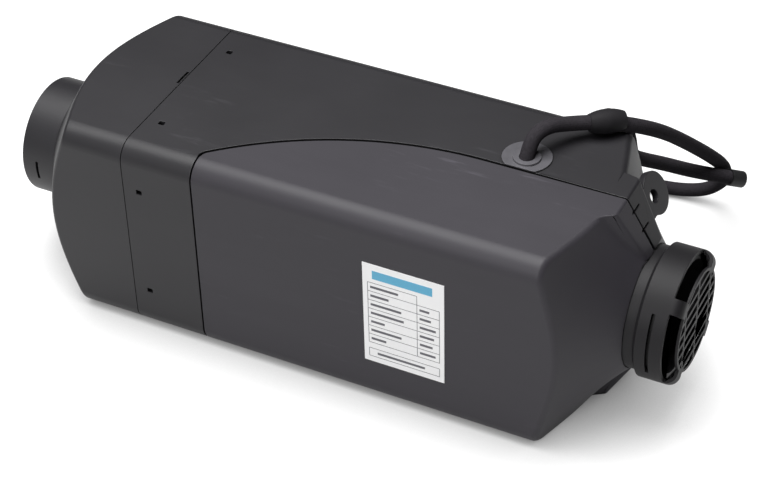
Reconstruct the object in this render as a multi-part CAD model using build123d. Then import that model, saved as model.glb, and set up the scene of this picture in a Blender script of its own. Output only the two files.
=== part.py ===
from build123d import *

import os
from math import atan2, cos, hypot, pi, radians, sin, sqrt, tan

# Diesel air heater, lying on its side, as separate solids in one frame.
# +X runs along the air path to the cold inlet, +Y to the mounting foot, +Z up.
# The origin is on the resting face, below the middle of the housing's length.
# All sizes are millimetres.

os.makedirs("parts", exist_ok=True)

# ---------------------------------------------------------------- housing
housing_length = 305.0
housing_depth = 122.0
housing_height = 115.0
housing_wall = 2.5
housing_edge_radius = 10.5
end_wall = 3.0
seam_gap = 0.6
fit_gap = 0.3
snug_gap = 0.05
screw_gap = 0.1
seat_gap = 0.1
spare = 5.0

# outlet hood: shallow cone end with a straight duct spigot
hood_reach = 48.0
hood_slope = 0.62
hood_edge_fillet = 2.5
hood_skirt = 12.0
skirt_root = 8.0
skirt_wall = 1.8
spigot_radius = 31.25
spigot_length = 36.0
spigot_wall = 2.5
spigot_slot = (1.4, 4.0, 11.0)
spigot_slot_back = 8.0
spigot_slot_drop = 1.4
hood_slit = (1.2, 11.0)
hood_slit_back = 2.1
hood_slit_depth = 1.2
hood_slit_y = 4.5
snap_window = (3.0, 2.6)
snap_window_back = 7.5
snap_window_top_y = 34.5
snap_window_side_z = 32.0

# lift-off cover: its plan outline, seen from above
cover_left_x = -64.5
seam_y = 4.6
seam_arc_radius = 183.0
seam_tangent_x = 63.5
seam_corner_radius = 5.0
lip_width = 6.0
lip_wall = 1.8
lip_root = 3.0
lip_start_back = 2.0
lip_end_back = 4.0

# hollow inlet end, as steps back from the collar
inlet_edge_back = 20.7
inlet_corner_back = 33.8
inlet_rim_fillet = 4.0

# slanted latch pads above and below the inlet collar
pad_top_back = 15.1
pad_low_height = 31.5
pad_low_out = 0.5
pad_cover_top = 10.0
pad_cover_low = 4.0
pad_shell_top = 24.0
pad_shell_low = 16.0
pad_depth = 6.0
pad_root = 3.0
pad_valley_fillet = 4.0
pad_edge_fillet = 2.0
pad_flare = 8.0
pad_flare_depth = 12.0
latch_slot = 0.8
latch_width = 8.5
latch_seam_offset = 2.55
latch_heights = (51.0, 42.0)
ear_radius = 11.0
ear_thickness = 3.6
ear_web = 16.0
ear_root = 2.0
ear_setback = 1.0
ear_y = 30.0
ear_height = 46.0
ear_hole_radius = 3.5
ear_hole_inset = 3.0

# inlet nozzle and its push-on guard
nozzle_radius = 31.3
nozzle_wall = 2.5
nozzle_flange_radius = 34.5
nozzle_flange = 1.5
nozzle_tail = 10.0
collar_length = 6.0
collar_radius = 33.4
collar_chamfer = 1.5
guard_radius = 34.0
guard_wall = 2.2
guard_gap = 0.3
guard_sleeve = 13.8
guard_length = 19.6
guard_plate = 1.4
guard_disc_radius = 26.5
guard_strap = 1.8
guard_bend = 5.5
guard_arm_width = 8.0
guard_arm_angles = (43.0, 133.0, 223.0, 313.0)
guard_slot_row = 4.0
guard_slot_pitch = 6.23
guard_rows = 8
guard_column_inner = 1.0
guard_column_outer = 16.3
guard_side_inner = 18.3
guard_rim = 1.8
guard_tongue = 1.6
guard_tongue_offset = 6.6
guard_tongue_from = 143.0
guard_tongue_to = 203.0

# cable grommets and rating label
grommet_x = 81.5
grommet_y = 15.0
grommet_radius = 12.5
grommet_flat_y = 5.2
grommet_plate = 0.8
grommet_neck_radius = 9.0
grommet_flange_radius = 9.9
grommet_flange = 1.2
grommet_collar_x = 82.0
grommet_collar_y = 13.7
grommet_collar_radius = 7.0
grommet_collar_height = 2.0
label_size = (43.4, 62.4)
label_centre = (50.6, 57.2)
label_thickness = 0.25

# mounting foot and its connections
foot_centre_x = 36.5
foot_size = (92.0, 70.0)
foot_out = 3.0
foot_shoulder = 3.0
foot_shoulder_y = 52.0
foot_clearance = 0.5
gasket_thickness = 3.0
gasket_margin = 1.0
stud_radius = 3.0
stud_root_radius = 3.4
stud_spacing = (76.0, 54.0)
stud_depth = 8.0
stud_out = 26.0
exhaust_x = 15.5
exhaust_radius = 12.0
exhaust_bore = 9.8
air_x = 63.5
air_radius = 12.5
air_bore = 10.3
stub_out = 31.0
stub_seat = 3.0
stub_root_step = 0.8
fuel_x = 35.5
fuel_offset_z = 14.0
fuel_radius = 2.5
fuel_tube_radius = 2.2
fuel_bore = 1.3
fuel_hose_start = 2.0
fuel_out = 31.0
fuel_inner_y = 15.5
fuel_grommet_radius = 5.5
fuel_grommet_proud = 1.5

# heat exchanger and burner
flange_x = 47.5
exchanger_radius = 30.0
exchanger_wall = 3.0
exchanger_length = 142.0
fin_radius = 50.0
fin_thickness = 2.0
fin_count = 24
fin_length = 125.5
exchanger_flange_radius = 46.0
exchanger_flange = 8.0
neck_size = (53.5, 51.0)
neck_centre_x = 18.0
burner_seat_radius = 34.0
burner_seat_depth = 3.0
burner_head_radius = 24.0
burner_head_length = 32.0
burner_bore = 15.0
burner_back_wall = 4.0
burner_air_port = (5.0, 8.0)
burner_tube_radius = 20.0
burner_tube_wall = 1.5
burner_tube_length = 100.0
burner_spigot_length = 6.0
burner_screw_radius = 1.5
burner_screw_turn = 22.5
burner_screw_circle = 30.5
burner_screw_head = (2.6, 2.2)
burner_screw_grip = 7.0
glow_x = 33.5
glow_boss_radius = 8.0
glow_boss_y = -44.0
glow_body_radius = 4.6
glow_tip_radius = 2.2
glow_head = (6.5, 5.5)
glow_seal = 1.5
glow_screen_wall = 0.8
glow_screen_y = (-24.0, -10.0)
glow_tip_y = -12.0
sensor_x = -30.0
sensor_radius = 7.0
sensor_height = 4.2
sensor_pocket = 2.5
sensor_pad = (23.0, 16.0)
sensor_pad_y = -46.0
clip_width = 4.0
clip_thickness = 0.9
clip_leg = 8.0

# combustion-air blower and motor
blower_gasket = 1.0
blower_cover = 4.0
blower_recess = 2.0
blower_recess_radius = 35.0
blower_cover_port = (5.0, 22.0)
blower_length = 21.0
blower_radius = 46.0
blower_cavity = 15.0
blower_cavity_radius = 30.0
blower_port_radius = 10.4
blower_port_bore = 8.0
blower_port_gap = 0.3
blower_port_root = 6.0
blower_floor = 2.0
blower_screw_radius = 2.4
blower_screw_turn = 45.0
blower_screw_circle = 40.0
blower_screw_head = (4.2, 3.5)
blower_screw_bite = 7.0
blower_lug = (14.0, 26.0)
wheel_radius = 28.0
wheel_start = 1.5
wheel_disc = 3.0
wheel_length = 12.0
wheel_vanes = 20
wheel_vane = 1.2
wheel_vane_inset = 0.4
wheel_vane_inner = 19.0
motor_length = 36.0
motor_radius = 18.0
motor_wall = 1.2
motor_flange_radius = 22.0
motor_flange = 2.0
bush_radius = 4.0
bush_length = 4.5
magnet_radius = (16.6, 13.6)
magnet_length = 24.0
magnet_span = 140.0
armature_radius = 12.6
armature_length = 22.0
armature_slots = 5
commutator = (5.0, 6.0)
armature_slot = (5.0, 1.6, 2.2)
shaft_radius = 2.0
shaft_gap = 0.05
shaft_tail = 2.0
shaft_head = 0.5
can_hole_gap = 0.6
hub_gap = 0.02

# hot-air fan wheel
fan_start = 4.0
fan_length = 22.0
fan_radius = 40.0
fan_hub_radius = 14.0
fan_nose = (4.0, 1.5)
fan_nose_radius = (10.0, 5.0)
fan_hub_wall = 2.0
fan_blades = 9
fan_blade = 1.8
fan_blade_root = 6.0
fan_pitch = 35.0

# control unit under the label face
unit_x = (50.0, 115.0)
unit_z = (20.0, 95.0)
unit_y = (-57.0, -47.3)
unit_wall = 1.6
unit_lid = 1.2
unit_board = 1.6
unit_standoff = 3.0
unit_boss_extra = 0.3
unit_board_gap = 0.6
unit_hole_gap = 0.15
unit_socket = (16.0, 12.0, 4.3)
unit_socket_z = 84.0
unit_screw_radius = 1.6
unit_screw_head = (3.0, 0.8)
unit_screw_z = (49.0, 66.0)
unit_screw_bite = 8.0
unit_screw_hole = 10.0

# wiring: one main lead, and a supply lead that leaves it at a moulded splitter
corner_share = 0.45
lead_radius = 3.8
lead_grip_gap = 0.05
splitter_radius = 6.3
splitter_end_radius = 4.5
splitter_length = 18.5
splitter_centre = (108.8, 50.2, 121.8)
splitter_direction = (0.752, 0.650, -0.080)
splitter_branch_radius = 4.7
branch_start = (106.0, 51.5, 121.6)
branch_grip = 3.0
connector_size = (18.0, 13.0, 30.0)
connector_corner = 1.5
connector_wall = 2.0
connector_mouth = 6.0
plug_radius = 4.6
plug_length = 6.5
plug_grip = 2.5

main_route = [
    (84.0, -43.0, 84.0), (84.0, -36.0, 84.0), (83.6, -27.0, 86.2), (83.0, -15.5, 90.3),
    (82.5, -4.5, 96.0), (82.1, 4.5, 103.0), (82.0, 11.5, 111.0), (82.0, 14.5, 119.0),
    (83.2, 19.5, 126.2), (87.0, 27.5, 127.4), (92.5, 36.5, 124.4), (100.3, 43.5, 122.9),
    (108.8, 49.8, 121.9), (117.2, 58.6, 117.0), (124.4, 71.0, 108.5), (127.8, 87.0, 95.9),
    (130.2, 104.0, 81.2), (133.2, 120.5, 66.2), (137.7, 136.5, 50.7), (141.9, 150.0, 36.0),
    (140.8, 158.2, 21.2), (131.4, 160.0, 9.7), (117.2, 160.4, 4.2), (102.0, 157.8, 4.2),
    (85.0, 156.0, 4.2), (68.5, 151.5, 4.6), (53.5, 146.0, 6.6), (38.0, 142.0, 6.6),
]
supply_route = [
    (105.2, 56.9, 119.1), (107.2, 60.6, 116.6), (109.8, 65.4, 112.2), (111.6, 70.6, 105.0),
    (111.9, 76.2, 95.4), (111.2, 81.0, 85.4), (110.4, 87.5, 75.6), (113.2, 97.5, 67.4),
    (119.8, 111.0, 57.6), (129.6, 124.5, 47.1), (140.0, 135.6, 39.6), (149.0, 143.3, 34.9),
]

# ---------------------------------------------------------------- derived places
axis_z = housing_height / 2
axis_y = 0.0
left_x = -housing_length / 2
right_x = housing_length / 2
hood_seam_x = left_x + hood_reach
front_y = -housing_depth / 2
back_y = housing_depth / 2
half_height = housing_height / 2
half_diagonal = hypot(housing_depth, housing_height) / 2
spigot_rim_x = left_x - spigot_length
guard_start_x = right_x + collar_length
guard_end_x = guard_start_x + guard_length
nozzle_bore = nozzle_radius - nozzle_wall
guard_bore = guard_radius - guard_wall
foot_y = back_y + foot_out
foot_z = axis_z
gasket_y = foot_y + gasket_thickness
stud_places = [
    (foot_centre_x + sx * stud_spacing[0] / 2, foot_z + sz * stud_spacing[1] / 2)
    for sx in (-1, 1) for sz in (-1, 1)
]
cover_start_x = flange_x + blower_gasket
blower_x = cover_start_x + blower_cover
blower_end_x = blower_x + blower_length
motor_end_x = blower_end_x + motor_length
fan_x = motor_end_x + fan_start
fan_end_x = fan_x + fan_length
wheel_x = blower_x + wheel_start
burner_head_x = flange_x - burner_head_length
exchanger_x = flange_x - exchanger_length
lead_start = main_route[0]
spin_axis = Axis((0, axis_y, axis_z), (1, 0, 0))


# ---------------------------------------------------------------- shape helpers
def across(x):
    """Plane square to the main axis at x; local x is +Y and local y is +Z."""
    return Plane(origin=(x, axis_y, axis_z), x_dir=(0, 1, 0), z_dir=(1, 0, 0))


def disc(x0, x1, radius):
    return extrude(across(x0) * Circle(radius), amount=x1 - x0)


def ring(x0, x1, outer, inner):
    return extrude(across(x0) * (Circle(outer) - Circle(inner)), amount=x1 - x0)


def pin_x(x0, x1, radius, circle, angle):
    """Round bar along X at a polar place about the main axis."""
    place = Pos(circle * cos(radians(angle)), circle * sin(radians(angle)))
    return extrude(across(x0) * place * Circle(radius), amount=x1 - x0)


def bar_y(x, z, y0, y1, radius):
    """Round bar along Y."""
    seat = Plane(origin=(x, y0, z), x_dir=(1, 0, 0), z_dir=(0, 1, 0))
    return extrude(seat * Circle(radius), amount=y1 - y0)


def brick(x0, x1, y0, y1, z0, z1):
    return Pos(x0, y0, z0) * Box(x1 - x0, y1 - y0, z1 - z0, align=(Align.MIN,) * 3)


def block(x0, x1, inset):
    """Housing section from x0 to x1, moved in by inset on every side."""
    section = RectangleRounded(
        housing_depth - 2 * inset,
        housing_height - 2 * inset,
        max(housing_edge_radius - inset, 0.5),
    )
    return extrude(across(x0) * section, amount=x1 - x0)


def turned(edges):
    return revolve(make_face(edges), spin_axis, 360)


def at_radius(x, radius):
    return Vector(x, axis_y, axis_z + radius)


def flipped(shape):
    """The same shape on the other side of the main axis, above for below."""
    return mirror(shape, about=Plane.XY.offset(axis_z))


def one_solid(shape, name):
    """Take the single solid out of a result, or name the piece that came apart."""
    solids = shape.solids()
    if len(solids) != 1:
        raise ValueError(f"{name} has {len(solids)} solids")
    return solids[0]


def write(shape, name):
    shape.label = name
    export_step(shape, f"parts/{name}.step")


# ---------------------------------------------------------------- housing shells
def hood_cone(shift):
    """Turning that the outlet end is trimmed to, moved in along X by shift."""
    reach = half_diagonal + spare
    tip = left_x + shift - hood_slope * half_height
    rim = left_x + shift + hood_slope * (reach - half_height)
    inner = at_radius(tip, 0)
    outer = at_radius(rim, reach)
    far = at_radius(right_x, reach)
    return turned(Polyline(inner, outer, far, at_radius(right_x, 0), close=True))


def inlet_hollow(shift):
    """Turning that the inlet end is trimmed to, moved in along X by shift."""
    collar = at_radius(right_x - shift, nozzle_radius)
    edge = at_radius(right_x - shift - inlet_edge_back, half_height)
    corner = at_radius(right_x - shift - inlet_corner_back, half_diagonal)
    beyond = corner.Z - axis_z + spare
    return turned([
        ThreePointArc(collar, edge, corner),
        Polyline(corner, at_radius(corner.X, beyond), at_radius(left_x, beyond),
                 at_radius(left_x, 0), at_radius(collar.X, 0), collar),
    ])


def cover_plan(grow):
    """Column inside the cover's plan outline, with the outline moved out by grow."""
    left = cover_left_x - grow
    radius = seam_arc_radius + grow
    centre_y = seam_y - seam_arc_radius
    corner_y = centre_y + sqrt(radius ** 2 - (seam_tangent_x - left) ** 2)
    start_angle = atan2(corner_y - centre_y, left - seam_tangent_x)
    middle_angle = (start_angle + pi / 2) / 2
    corner = (left, corner_y)
    middle = (seam_tangent_x + radius * cos(middle_angle), centre_y + radius * sin(middle_angle))
    tangent = (seam_tangent_x, centre_y + radius)
    far_x = right_x + collar_length + spigot_length
    outline = make_face([
        ThreePointArc(corner, middle, tangent),
        Polyline(tangent, (far_x, tangent[1]), (far_x, 2 * front_y), (left, 2 * front_y),
                 corner),
    ])
    sharp = outline.vertices().sort_by_distance((left, corner_y, 0))[0]
    outline = fillet(sharp, max(seam_corner_radius + grow, 0.5))
    return Pos(0, 0, -spare) * extrude(outline, amount=housing_height + 2 * spare,
                                       dir=(0, 0, 1))


def latch_pad():
    """Slanted pad over the hollow, above the collar, for both shells at once."""
    top = Vector(right_x - pad_top_back, 0, housing_height)
    low = Vector(right_x + pad_low_out, 0, axis_z + pad_low_height)
    run = low - top
    out = Vector(-run.Z, 0, run.X).normalized()
    face_plane = Plane(origin=top, x_dir=(0, 1, 0), z_dir=out)
    base_plane = Plane(origin=top - out * pad_flare_depth, x_dir=(0, 1, 0), z_dir=out)
    above = pad_flare
    face = Polyline((-pad_cover_top, above), (pad_shell_top, above),
                    (pad_shell_low, -run.length), (-pad_cover_low, -run.length), close=True)
    base = Polyline((-pad_cover_top - pad_flare, above), (pad_shell_top + 1, above),
                    (pad_shell_low + 1, -run.length), (-pad_cover_low - pad_flare, -run.length),
                    close=True)
    body = loft([face_plane * make_face(face), base_plane * make_face(base)])
    profile = Polyline(
        (top.X - pad_depth - pad_root, 0, top.Z), (top.X, 0, top.Z), (low.X, 0, low.Z),
        (low.X - pad_depth, 0, low.Z), close=True)
    slab = Pos(0, -housing_depth / 2, 0) * extrude(
        make_face(profile), amount=housing_depth, dir=(0, 1, 0))
    return body & slab & block(left_x, right_x + collar_length, 0)


def pad_x(height):
    """X of the pad's face at a height above the main axis."""
    top_x = right_x - pad_top_back
    low_x = right_x + pad_low_out
    share = (half_height - height) / (half_height - pad_low_height)
    return top_x + (low_x - top_x) * share


def pad_plane(height, setback):
    """Plane parallel to the pad's face, set back from it, at a height above the axis."""
    rise = half_height - pad_low_height
    run = pad_top_back + pad_low_out
    out = Vector(rise, 0, run).normalized()
    place = Vector(pad_x(height), 0, axis_z + height) - out * setback
    return Plane(origin=place, x_dir=(0, 1, 0), z_dir=out)


def latch_slots():
    """Two slots across the seam that free the snap tongue of each pad."""
    cuts = []
    for height in latch_heights:
        seat = pad_plane(height, 0)
        middle = Pos(seam_y + latch_seam_offset, 0)
        slot = seat * middle * Rectangle(latch_width, latch_slot)
        cuts.append(extrude(slot, amount=pad_depth, both=True))
    return cuts[0] + cuts[1]


def harness_ear():
    """Round ear with a hole, beside the upper pad, for tying the wiring down."""
    seat = pad_plane(ear_height, ear_setback)
    root_y = pad_shell_low - ear_root
    lobe = Pos(ear_y, 0) * Circle(ear_radius)
    web = Pos((root_y + ear_y) / 2, 0) * Rectangle(ear_y - root_y, ear_web)
    hole = Pos(ear_y - ear_hole_inset, 0) * Circle(ear_hole_radius)
    return extrude(seat * (lobe + web - hole), amount=-ear_thickness)


def inlet_body(start_x):
    """Solid inlet end with its rim rounded and both latch pads blended in."""
    body = block(start_x, right_x, 0) & inlet_hollow(0)
    collar_x = right_x - inlet_corner_back - inlet_rim_fillet
    rim = [e for e in body.edges()
           if (e @ 0.5).X > collar_x and e.geom_type == GeomType.BSPLINE
           and hypot(e.center().Y, e.center().Z - axis_z) > nozzle_radius]
    body = one_solid(body.fillet(inlet_rim_fillet, rim) + latch_pad(), "inlet body")
    slant = pad_plane(pad_low_height, 0).z_dir
    face = [f for f in body.faces()
            if f.geom_type == GeomType.PLANE and f.normal_at().dot(slant) > cos(radians(1))]
    sides = [e for e in face[0].edges() if (e @ 0.5).Z > axis_z + pad_low_height + 1]
    body = one_solid(body.fillet(pad_edge_fillet, sides), "inlet body")
    near = [e for e in body.edges()
            if (e @ 0.5).X > collar_x and -pad_cover_top - pad_flare < (e @ 0.5).Y < -pad_cover_low
            and e.bounding_box().max.Z < housing_height - 1
            and e.bounding_box().min.Z > axis_z]
    valley = max(near, key=lambda e: e.length)
    body = one_solid(body.fillet(pad_valley_fillet, [valley]), "inlet body")
    upper = body & Pos((start_x + right_x) / 2, 0, axis_z + housing_height / 2) * Box(
        2 * (right_x - start_x), 2 * housing_depth, housing_height)
    return one_solid(upper + flipped(upper), "inlet body")


def housing_skin(start_x):
    """Thin-walled housing from start_x to the inlet end, pads included."""
    inside = block(start_x - 1, right_x, housing_wall) & inlet_hollow(end_wall)
    pad = latch_pad()
    return inlet_body(start_x) - (inside - pad - flipped(pad))


def nozzle_way(slide):
    """Room for the nozzle in the end walls, drawn out by slide towards the seam."""
    radius = nozzle_radius + fit_gap
    start = right_x - inlet_corner_back
    room = disc(start, right_x + collar_length, radius)
    if slide > 0:
        room += brick(start, right_x + collar_length, 0, slide, axis_z - radius, axis_z + radius)
    return room


def sealing_lip():
    """Strip on the lower shell that backs the cover's edge all along the seam."""
    reach_x = right_x - inlet_corner_back - end_wall - lip_end_back
    start_x = cover_left_x - seam_gap - lip_root - lip_start_back
    band = cover_plan(seam_gap + lip_root) - cover_plan(-lip_width)
    root = cover_plan(seam_gap + lip_root) - cover_plan(seam_gap)
    under = housing_wall + fit_gap
    strip = block(start_x, reach_x, under) - block(start_x, reach_x, under + lip_wall)
    joint = block(start_x, reach_x, housing_wall - 0.5) - block(start_x, reach_x, under)
    return (strip & band) + (joint & root)


def grommet_room():
    """Stepped hole for a grommet's neck and inner flange, through the top wall."""
    inner = Pos(grommet_x, grommet_y, housing_height - housing_wall)
    neck = inner * Cylinder(grommet_neck_radius, housing_wall + 1,
                            align=(Align.CENTER, Align.CENTER, Align.MIN))
    flange = inner * Cylinder(grommet_flange_radius + fit_gap, lip_wall + 2 * fit_gap,
                              align=(Align.CENTER, Align.CENTER, Align.MAX))
    return neck + flange


def snap_windows():
    x0 = hood_seam_x + snap_window_back
    x1 = x0 + snap_window[0]
    half = snap_window[1] / 2
    top = housing_height - housing_wall - 1
    cuts = []
    for y in (-snap_window_top_y, snap_window_top_y):
        slit = brick(x0, x1, y - half, y + half, top, housing_height + 1)
        cuts += [slit, flipped(slit)]
    for dz in (-snap_window_side_z, snap_window_side_z):
        z = axis_z + dz
        near = brick(x0, x1, front_y - 1, front_y + housing_wall + 1, z - half, z + half)
        cuts += [near, mirror(near, about=Plane.XZ)]
    return cuts


def foot_room(grow, y0, y1):
    half_x = foot_size[0] / 2 + grow
    half_z = foot_size[1] / 2 + grow
    return brick(foot_centre_x - half_x, foot_centre_x + half_x, y0, y1,
                 foot_z - half_z, foot_z + half_z)


def lower_shell():
    shell = housing_skin(hood_seam_x) - cover_plan(seam_gap)
    shell += sealing_lip()
    shell += harness_ear()
    shell -= nozzle_way(0)
    shell -= foot_room(foot_clearance, back_y - housing_wall - 1, back_y + 1)
    shell -= grommet_room()
    shell -= flipped(grommet_room())
    slots = latch_slots()
    shell -= slots
    shell -= flipped(slots)
    for window in snap_windows():
        shell -= window
    return one_solid(shell, "lower_shell")


def upper_shell():
    shell = housing_skin(cover_left_x) & cover_plan(0)
    shell -= nozzle_way(seam_y + 1)
    slots = latch_slots()
    shell -= slots
    shell -= flipped(slots)
    return one_solid(shell, "upper_shell")


def outlet_hood():
    seam_x = hood_seam_x - seam_gap / 3
    inner_shift = housing_wall * hypot(1, hood_slope)
    outside = block(spigot_rim_x, seam_x, 0) & hood_cone(0)
    rim = [e for e in outside.edges()
           if e.bounding_box().max.X < seam_x - 1 and e.geom_type != GeomType.LINE
           and hypot((e @ 0.5).Y, (e @ 0.5).Z - axis_z) > spigot_radius]
    outside = outside.fillet(hood_edge_fillet, rim)
    inside = block(spigot_rim_x, seam_x + 1, housing_wall) & hood_cone(inner_shift)
    skirt_start = hood_seam_x - skirt_root
    skirt_end = hood_seam_x + hood_skirt
    under = housing_wall + fit_gap
    skirt = block(skirt_start, skirt_end, under) - block(skirt_start - 1, skirt_end + 1,
                                                         under + skirt_wall)
    joint = block(skirt_start, seam_x, housing_wall - 0.5) - block(skirt_start - 1, seam_x + 1,
                                                                   under)
    spigot = ring(spigot_rim_x, left_x, spigot_radius, spigot_radius - spigot_wall)
    hood = outside - inside
    hood += skirt
    hood += joint
    hood -= disc(spigot_rim_x - 1, left_x + spare, spigot_radius - spigot_wall)
    hood += spigot & (disc(spigot_rim_x, left_x, spigot_radius) - hood_cone(inner_shift))
    slot_x = spigot_rim_x + spigot_slot_back
    slot = brick(slot_x, slot_x + spigot_slot[0], -spigot_radius - 1,
                 -spigot_radius + spigot_slot[1],
                 axis_z - spigot_slot[2] / 2 - spigot_slot_drop,
                 axis_z + spigot_slot[2] / 2 - spigot_slot_drop)
    hood -= slot
    hood -= mirror(slot, about=Plane.XZ)
    slit_x = hood_seam_x - hood_slit_back
    hood -= brick(slit_x, slit_x + hood_slit[0], hood_slit_y - hood_slit[1] / 2,
                  hood_slit_y + hood_slit[1] / 2, housing_height - hood_slit_depth,
                  housing_height + 1)
    return one_solid(hood, "outlet_hood")


# ---------------------------------------------------------------- inlet
def inlet_nozzle():
    tail_x = right_x - nozzle_tail
    outer = [
        (tail_x, nozzle_bore), (tail_x, nozzle_flange_radius),
        (tail_x + nozzle_flange, nozzle_flange_radius), (tail_x + nozzle_flange, nozzle_radius),
        (guard_start_x - collar_chamfer, nozzle_radius), (guard_start_x, collar_radius),
        (guard_start_x, guard_bore - guard_gap),
        (guard_start_x + guard_sleeve - 1.0, guard_bore - guard_gap),
        (guard_start_x + guard_sleeve - 1.0, nozzle_bore),
    ]
    profile = Polyline(*[at_radius(x, r) for x, r in outer], close=True)
    return one_solid(turned(profile), "inlet_nozzle")


def guard_slots():
    """Slots of the front disc: two wide columns and a cut-off one on each side."""
    x0 = guard_end_x - guard_plate - 1
    reach = guard_disc_radius - guard_rim
    cuts = []
    for row in range(guard_rows):
        z = (row - (guard_rows - 1) / 2) * guard_slot_pitch
        for side in (-1, 1):
            for inner, outer in ((guard_column_inner, guard_column_outer),
                                 (guard_side_inner, guard_disc_radius)):
                place = Pos(side * (inner + outer) / 2, z)
                cuts.append(place * Rectangle(outer - inner, guard_slot_row))
    sketch = Sketch() + cuts
    clipped = sketch & Circle(reach)
    return extrude(across(x0) * clipped, amount=guard_plate + 2)


def guard_straps(start_x):
    """Turning of the straps that run along the sleeve and bend in to the disc."""
    bend_x = guard_end_x - guard_bend
    bend_r = guard_radius - guard_bend
    inner = guard_bend - guard_strap
    slant = sqrt(0.5)
    foot_r = guard_disc_radius - 1.0
    return turned([
        Polyline(at_radius(start_x, guard_radius), at_radius(bend_x, guard_radius)),
        ThreePointArc(at_radius(bend_x, guard_radius),
                      at_radius(bend_x + slant * guard_bend, bend_r + slant * guard_bend),
                      at_radius(guard_end_x, bend_r)),
        Polyline(at_radius(guard_end_x, bend_r), at_radius(guard_end_x, foot_r),
                 at_radius(guard_end_x - guard_strap, foot_r),
                 at_radius(guard_end_x - guard_strap, bend_r)),
        ThreePointArc(at_radius(guard_end_x - guard_strap, bend_r),
                      at_radius(bend_x + slant * inner, bend_r + slant * inner),
                      at_radius(bend_x, guard_radius - guard_strap)),
        Polyline(at_radius(bend_x, guard_radius - guard_strap),
                 at_radius(start_x, guard_radius - guard_strap),
                 at_radius(start_x, guard_radius)),
    ])


def inlet_guard():
    sleeve_end = guard_start_x + guard_sleeve
    plate_x = guard_end_x - guard_plate
    guard = ring(guard_start_x + guard_gap / 3, sleeve_end, guard_radius, guard_bore)
    guard += disc(plate_x, guard_end_x, guard_disc_radius)
    arms = Sketch() + [Rot(0, 0, a) * Pos(guard_radius, 0)
                       * Rectangle(2 * (guard_radius - guard_disc_radius) + 2, guard_arm_width)
                       for a in guard_arm_angles]
    reach = extrude(across(sleeve_end - 1) * arms, amount=guard_length)
    guard += reach & guard_straps(sleeve_end - 1)
    guard -= guard_slots()
    span = guard_tongue_to - guard_tongue_from
    tongue_x = guard_start_x + guard_tongue_offset - guard_tongue / 2
    profile = Polyline(at_radius(tongue_x, guard_bore - 1), at_radius(tongue_x, guard_radius + 1),
                       at_radius(tongue_x + guard_tongue, guard_radius + 1),
                       at_radius(tongue_x + guard_tongue, guard_bore - 1), close=True)
    tongue = revolve(make_face(profile), spin_axis, span)
    for start in (guard_tongue_from, guard_tongue_from - 180):
        guard -= tongue.rotate(spin_axis, start - 90)
    return one_solid(guard, "inlet_guard")


# ---------------------------------------------------------------- grommets and label
def grommet_body(neck_top):
    """Neck and inner flange of a grommet in the top wall."""
    inner_z = housing_height - housing_wall
    neck = Pos(grommet_x, grommet_y, inner_z) * Cylinder(
        grommet_neck_radius - fit_gap / 3, neck_top - inner_z,
        align=(Align.CENTER, Align.CENTER, Align.MIN))
    flange = Pos(grommet_x, grommet_y, inner_z) * Cylinder(
        grommet_flange_radius, grommet_flange, align=(Align.CENTER, Align.CENTER, Align.MAX))
    return neck + flange


def cable_grommet():
    top_z = housing_height + grommet_plate
    plate = Pos(grommet_x, grommet_y, housing_height) * Cylinder(
        grommet_radius, grommet_plate, align=(Align.CENTER, Align.CENTER, Align.MIN))
    collar_base = Pos(grommet_collar_x, grommet_collar_y, top_z)
    collar = collar_base * Cylinder(grommet_collar_radius, grommet_collar_height - grommet_plate,
                                    align=(Align.CENTER, Align.CENTER, Align.MIN))
    flat = brick(grommet_x - grommet_radius, grommet_x + grommet_radius,
                 grommet_y - 2 * grommet_radius, grommet_flat_y,
                 housing_height - spare, housing_height + spare)
    grommet = grommet_body(housing_height) + plate + collar - flat
    lead = sweep_lead(main_route, lead_radius + seat_gap)
    return one_solid(grommet - lead, "cable_grommet")


def blank_grommet():
    return one_solid(flipped(grommet_body(housing_height)), "blank_grommet")


def type_label():
    x, z = label_centre
    half_x, half_z = label_size[0] / 2, label_size[1] / 2
    plate = brick(x - half_x, x + half_x, front_y - label_thickness, front_y, z - half_z,
                  z + half_z)
    return plate


# ---------------------------------------------------------------- heat exchanger
def exchanger_fins():
    x0 = flange_x - exchanger_flange - fin_length
    fins = Sketch() + [Rot(0, 0, (i + 0.5) * 360 / fin_count)
                       * Pos((fin_radius + exchanger_radius) / 2 - 0.5, 0)
                       * Rectangle(fin_radius - exchanger_radius + 1, fin_thickness)
                       for i in range(fin_count)]
    return extrude(across(x0) * fins, amount=fin_length)


def sensor_block(grow):
    half_x = sensor_pad[0] / 2 + grow
    half_z = sensor_pad[1] / 2 + grow
    return sensor_x - half_x, sensor_x + half_x, axis_z - half_z, axis_z + half_z


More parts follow.
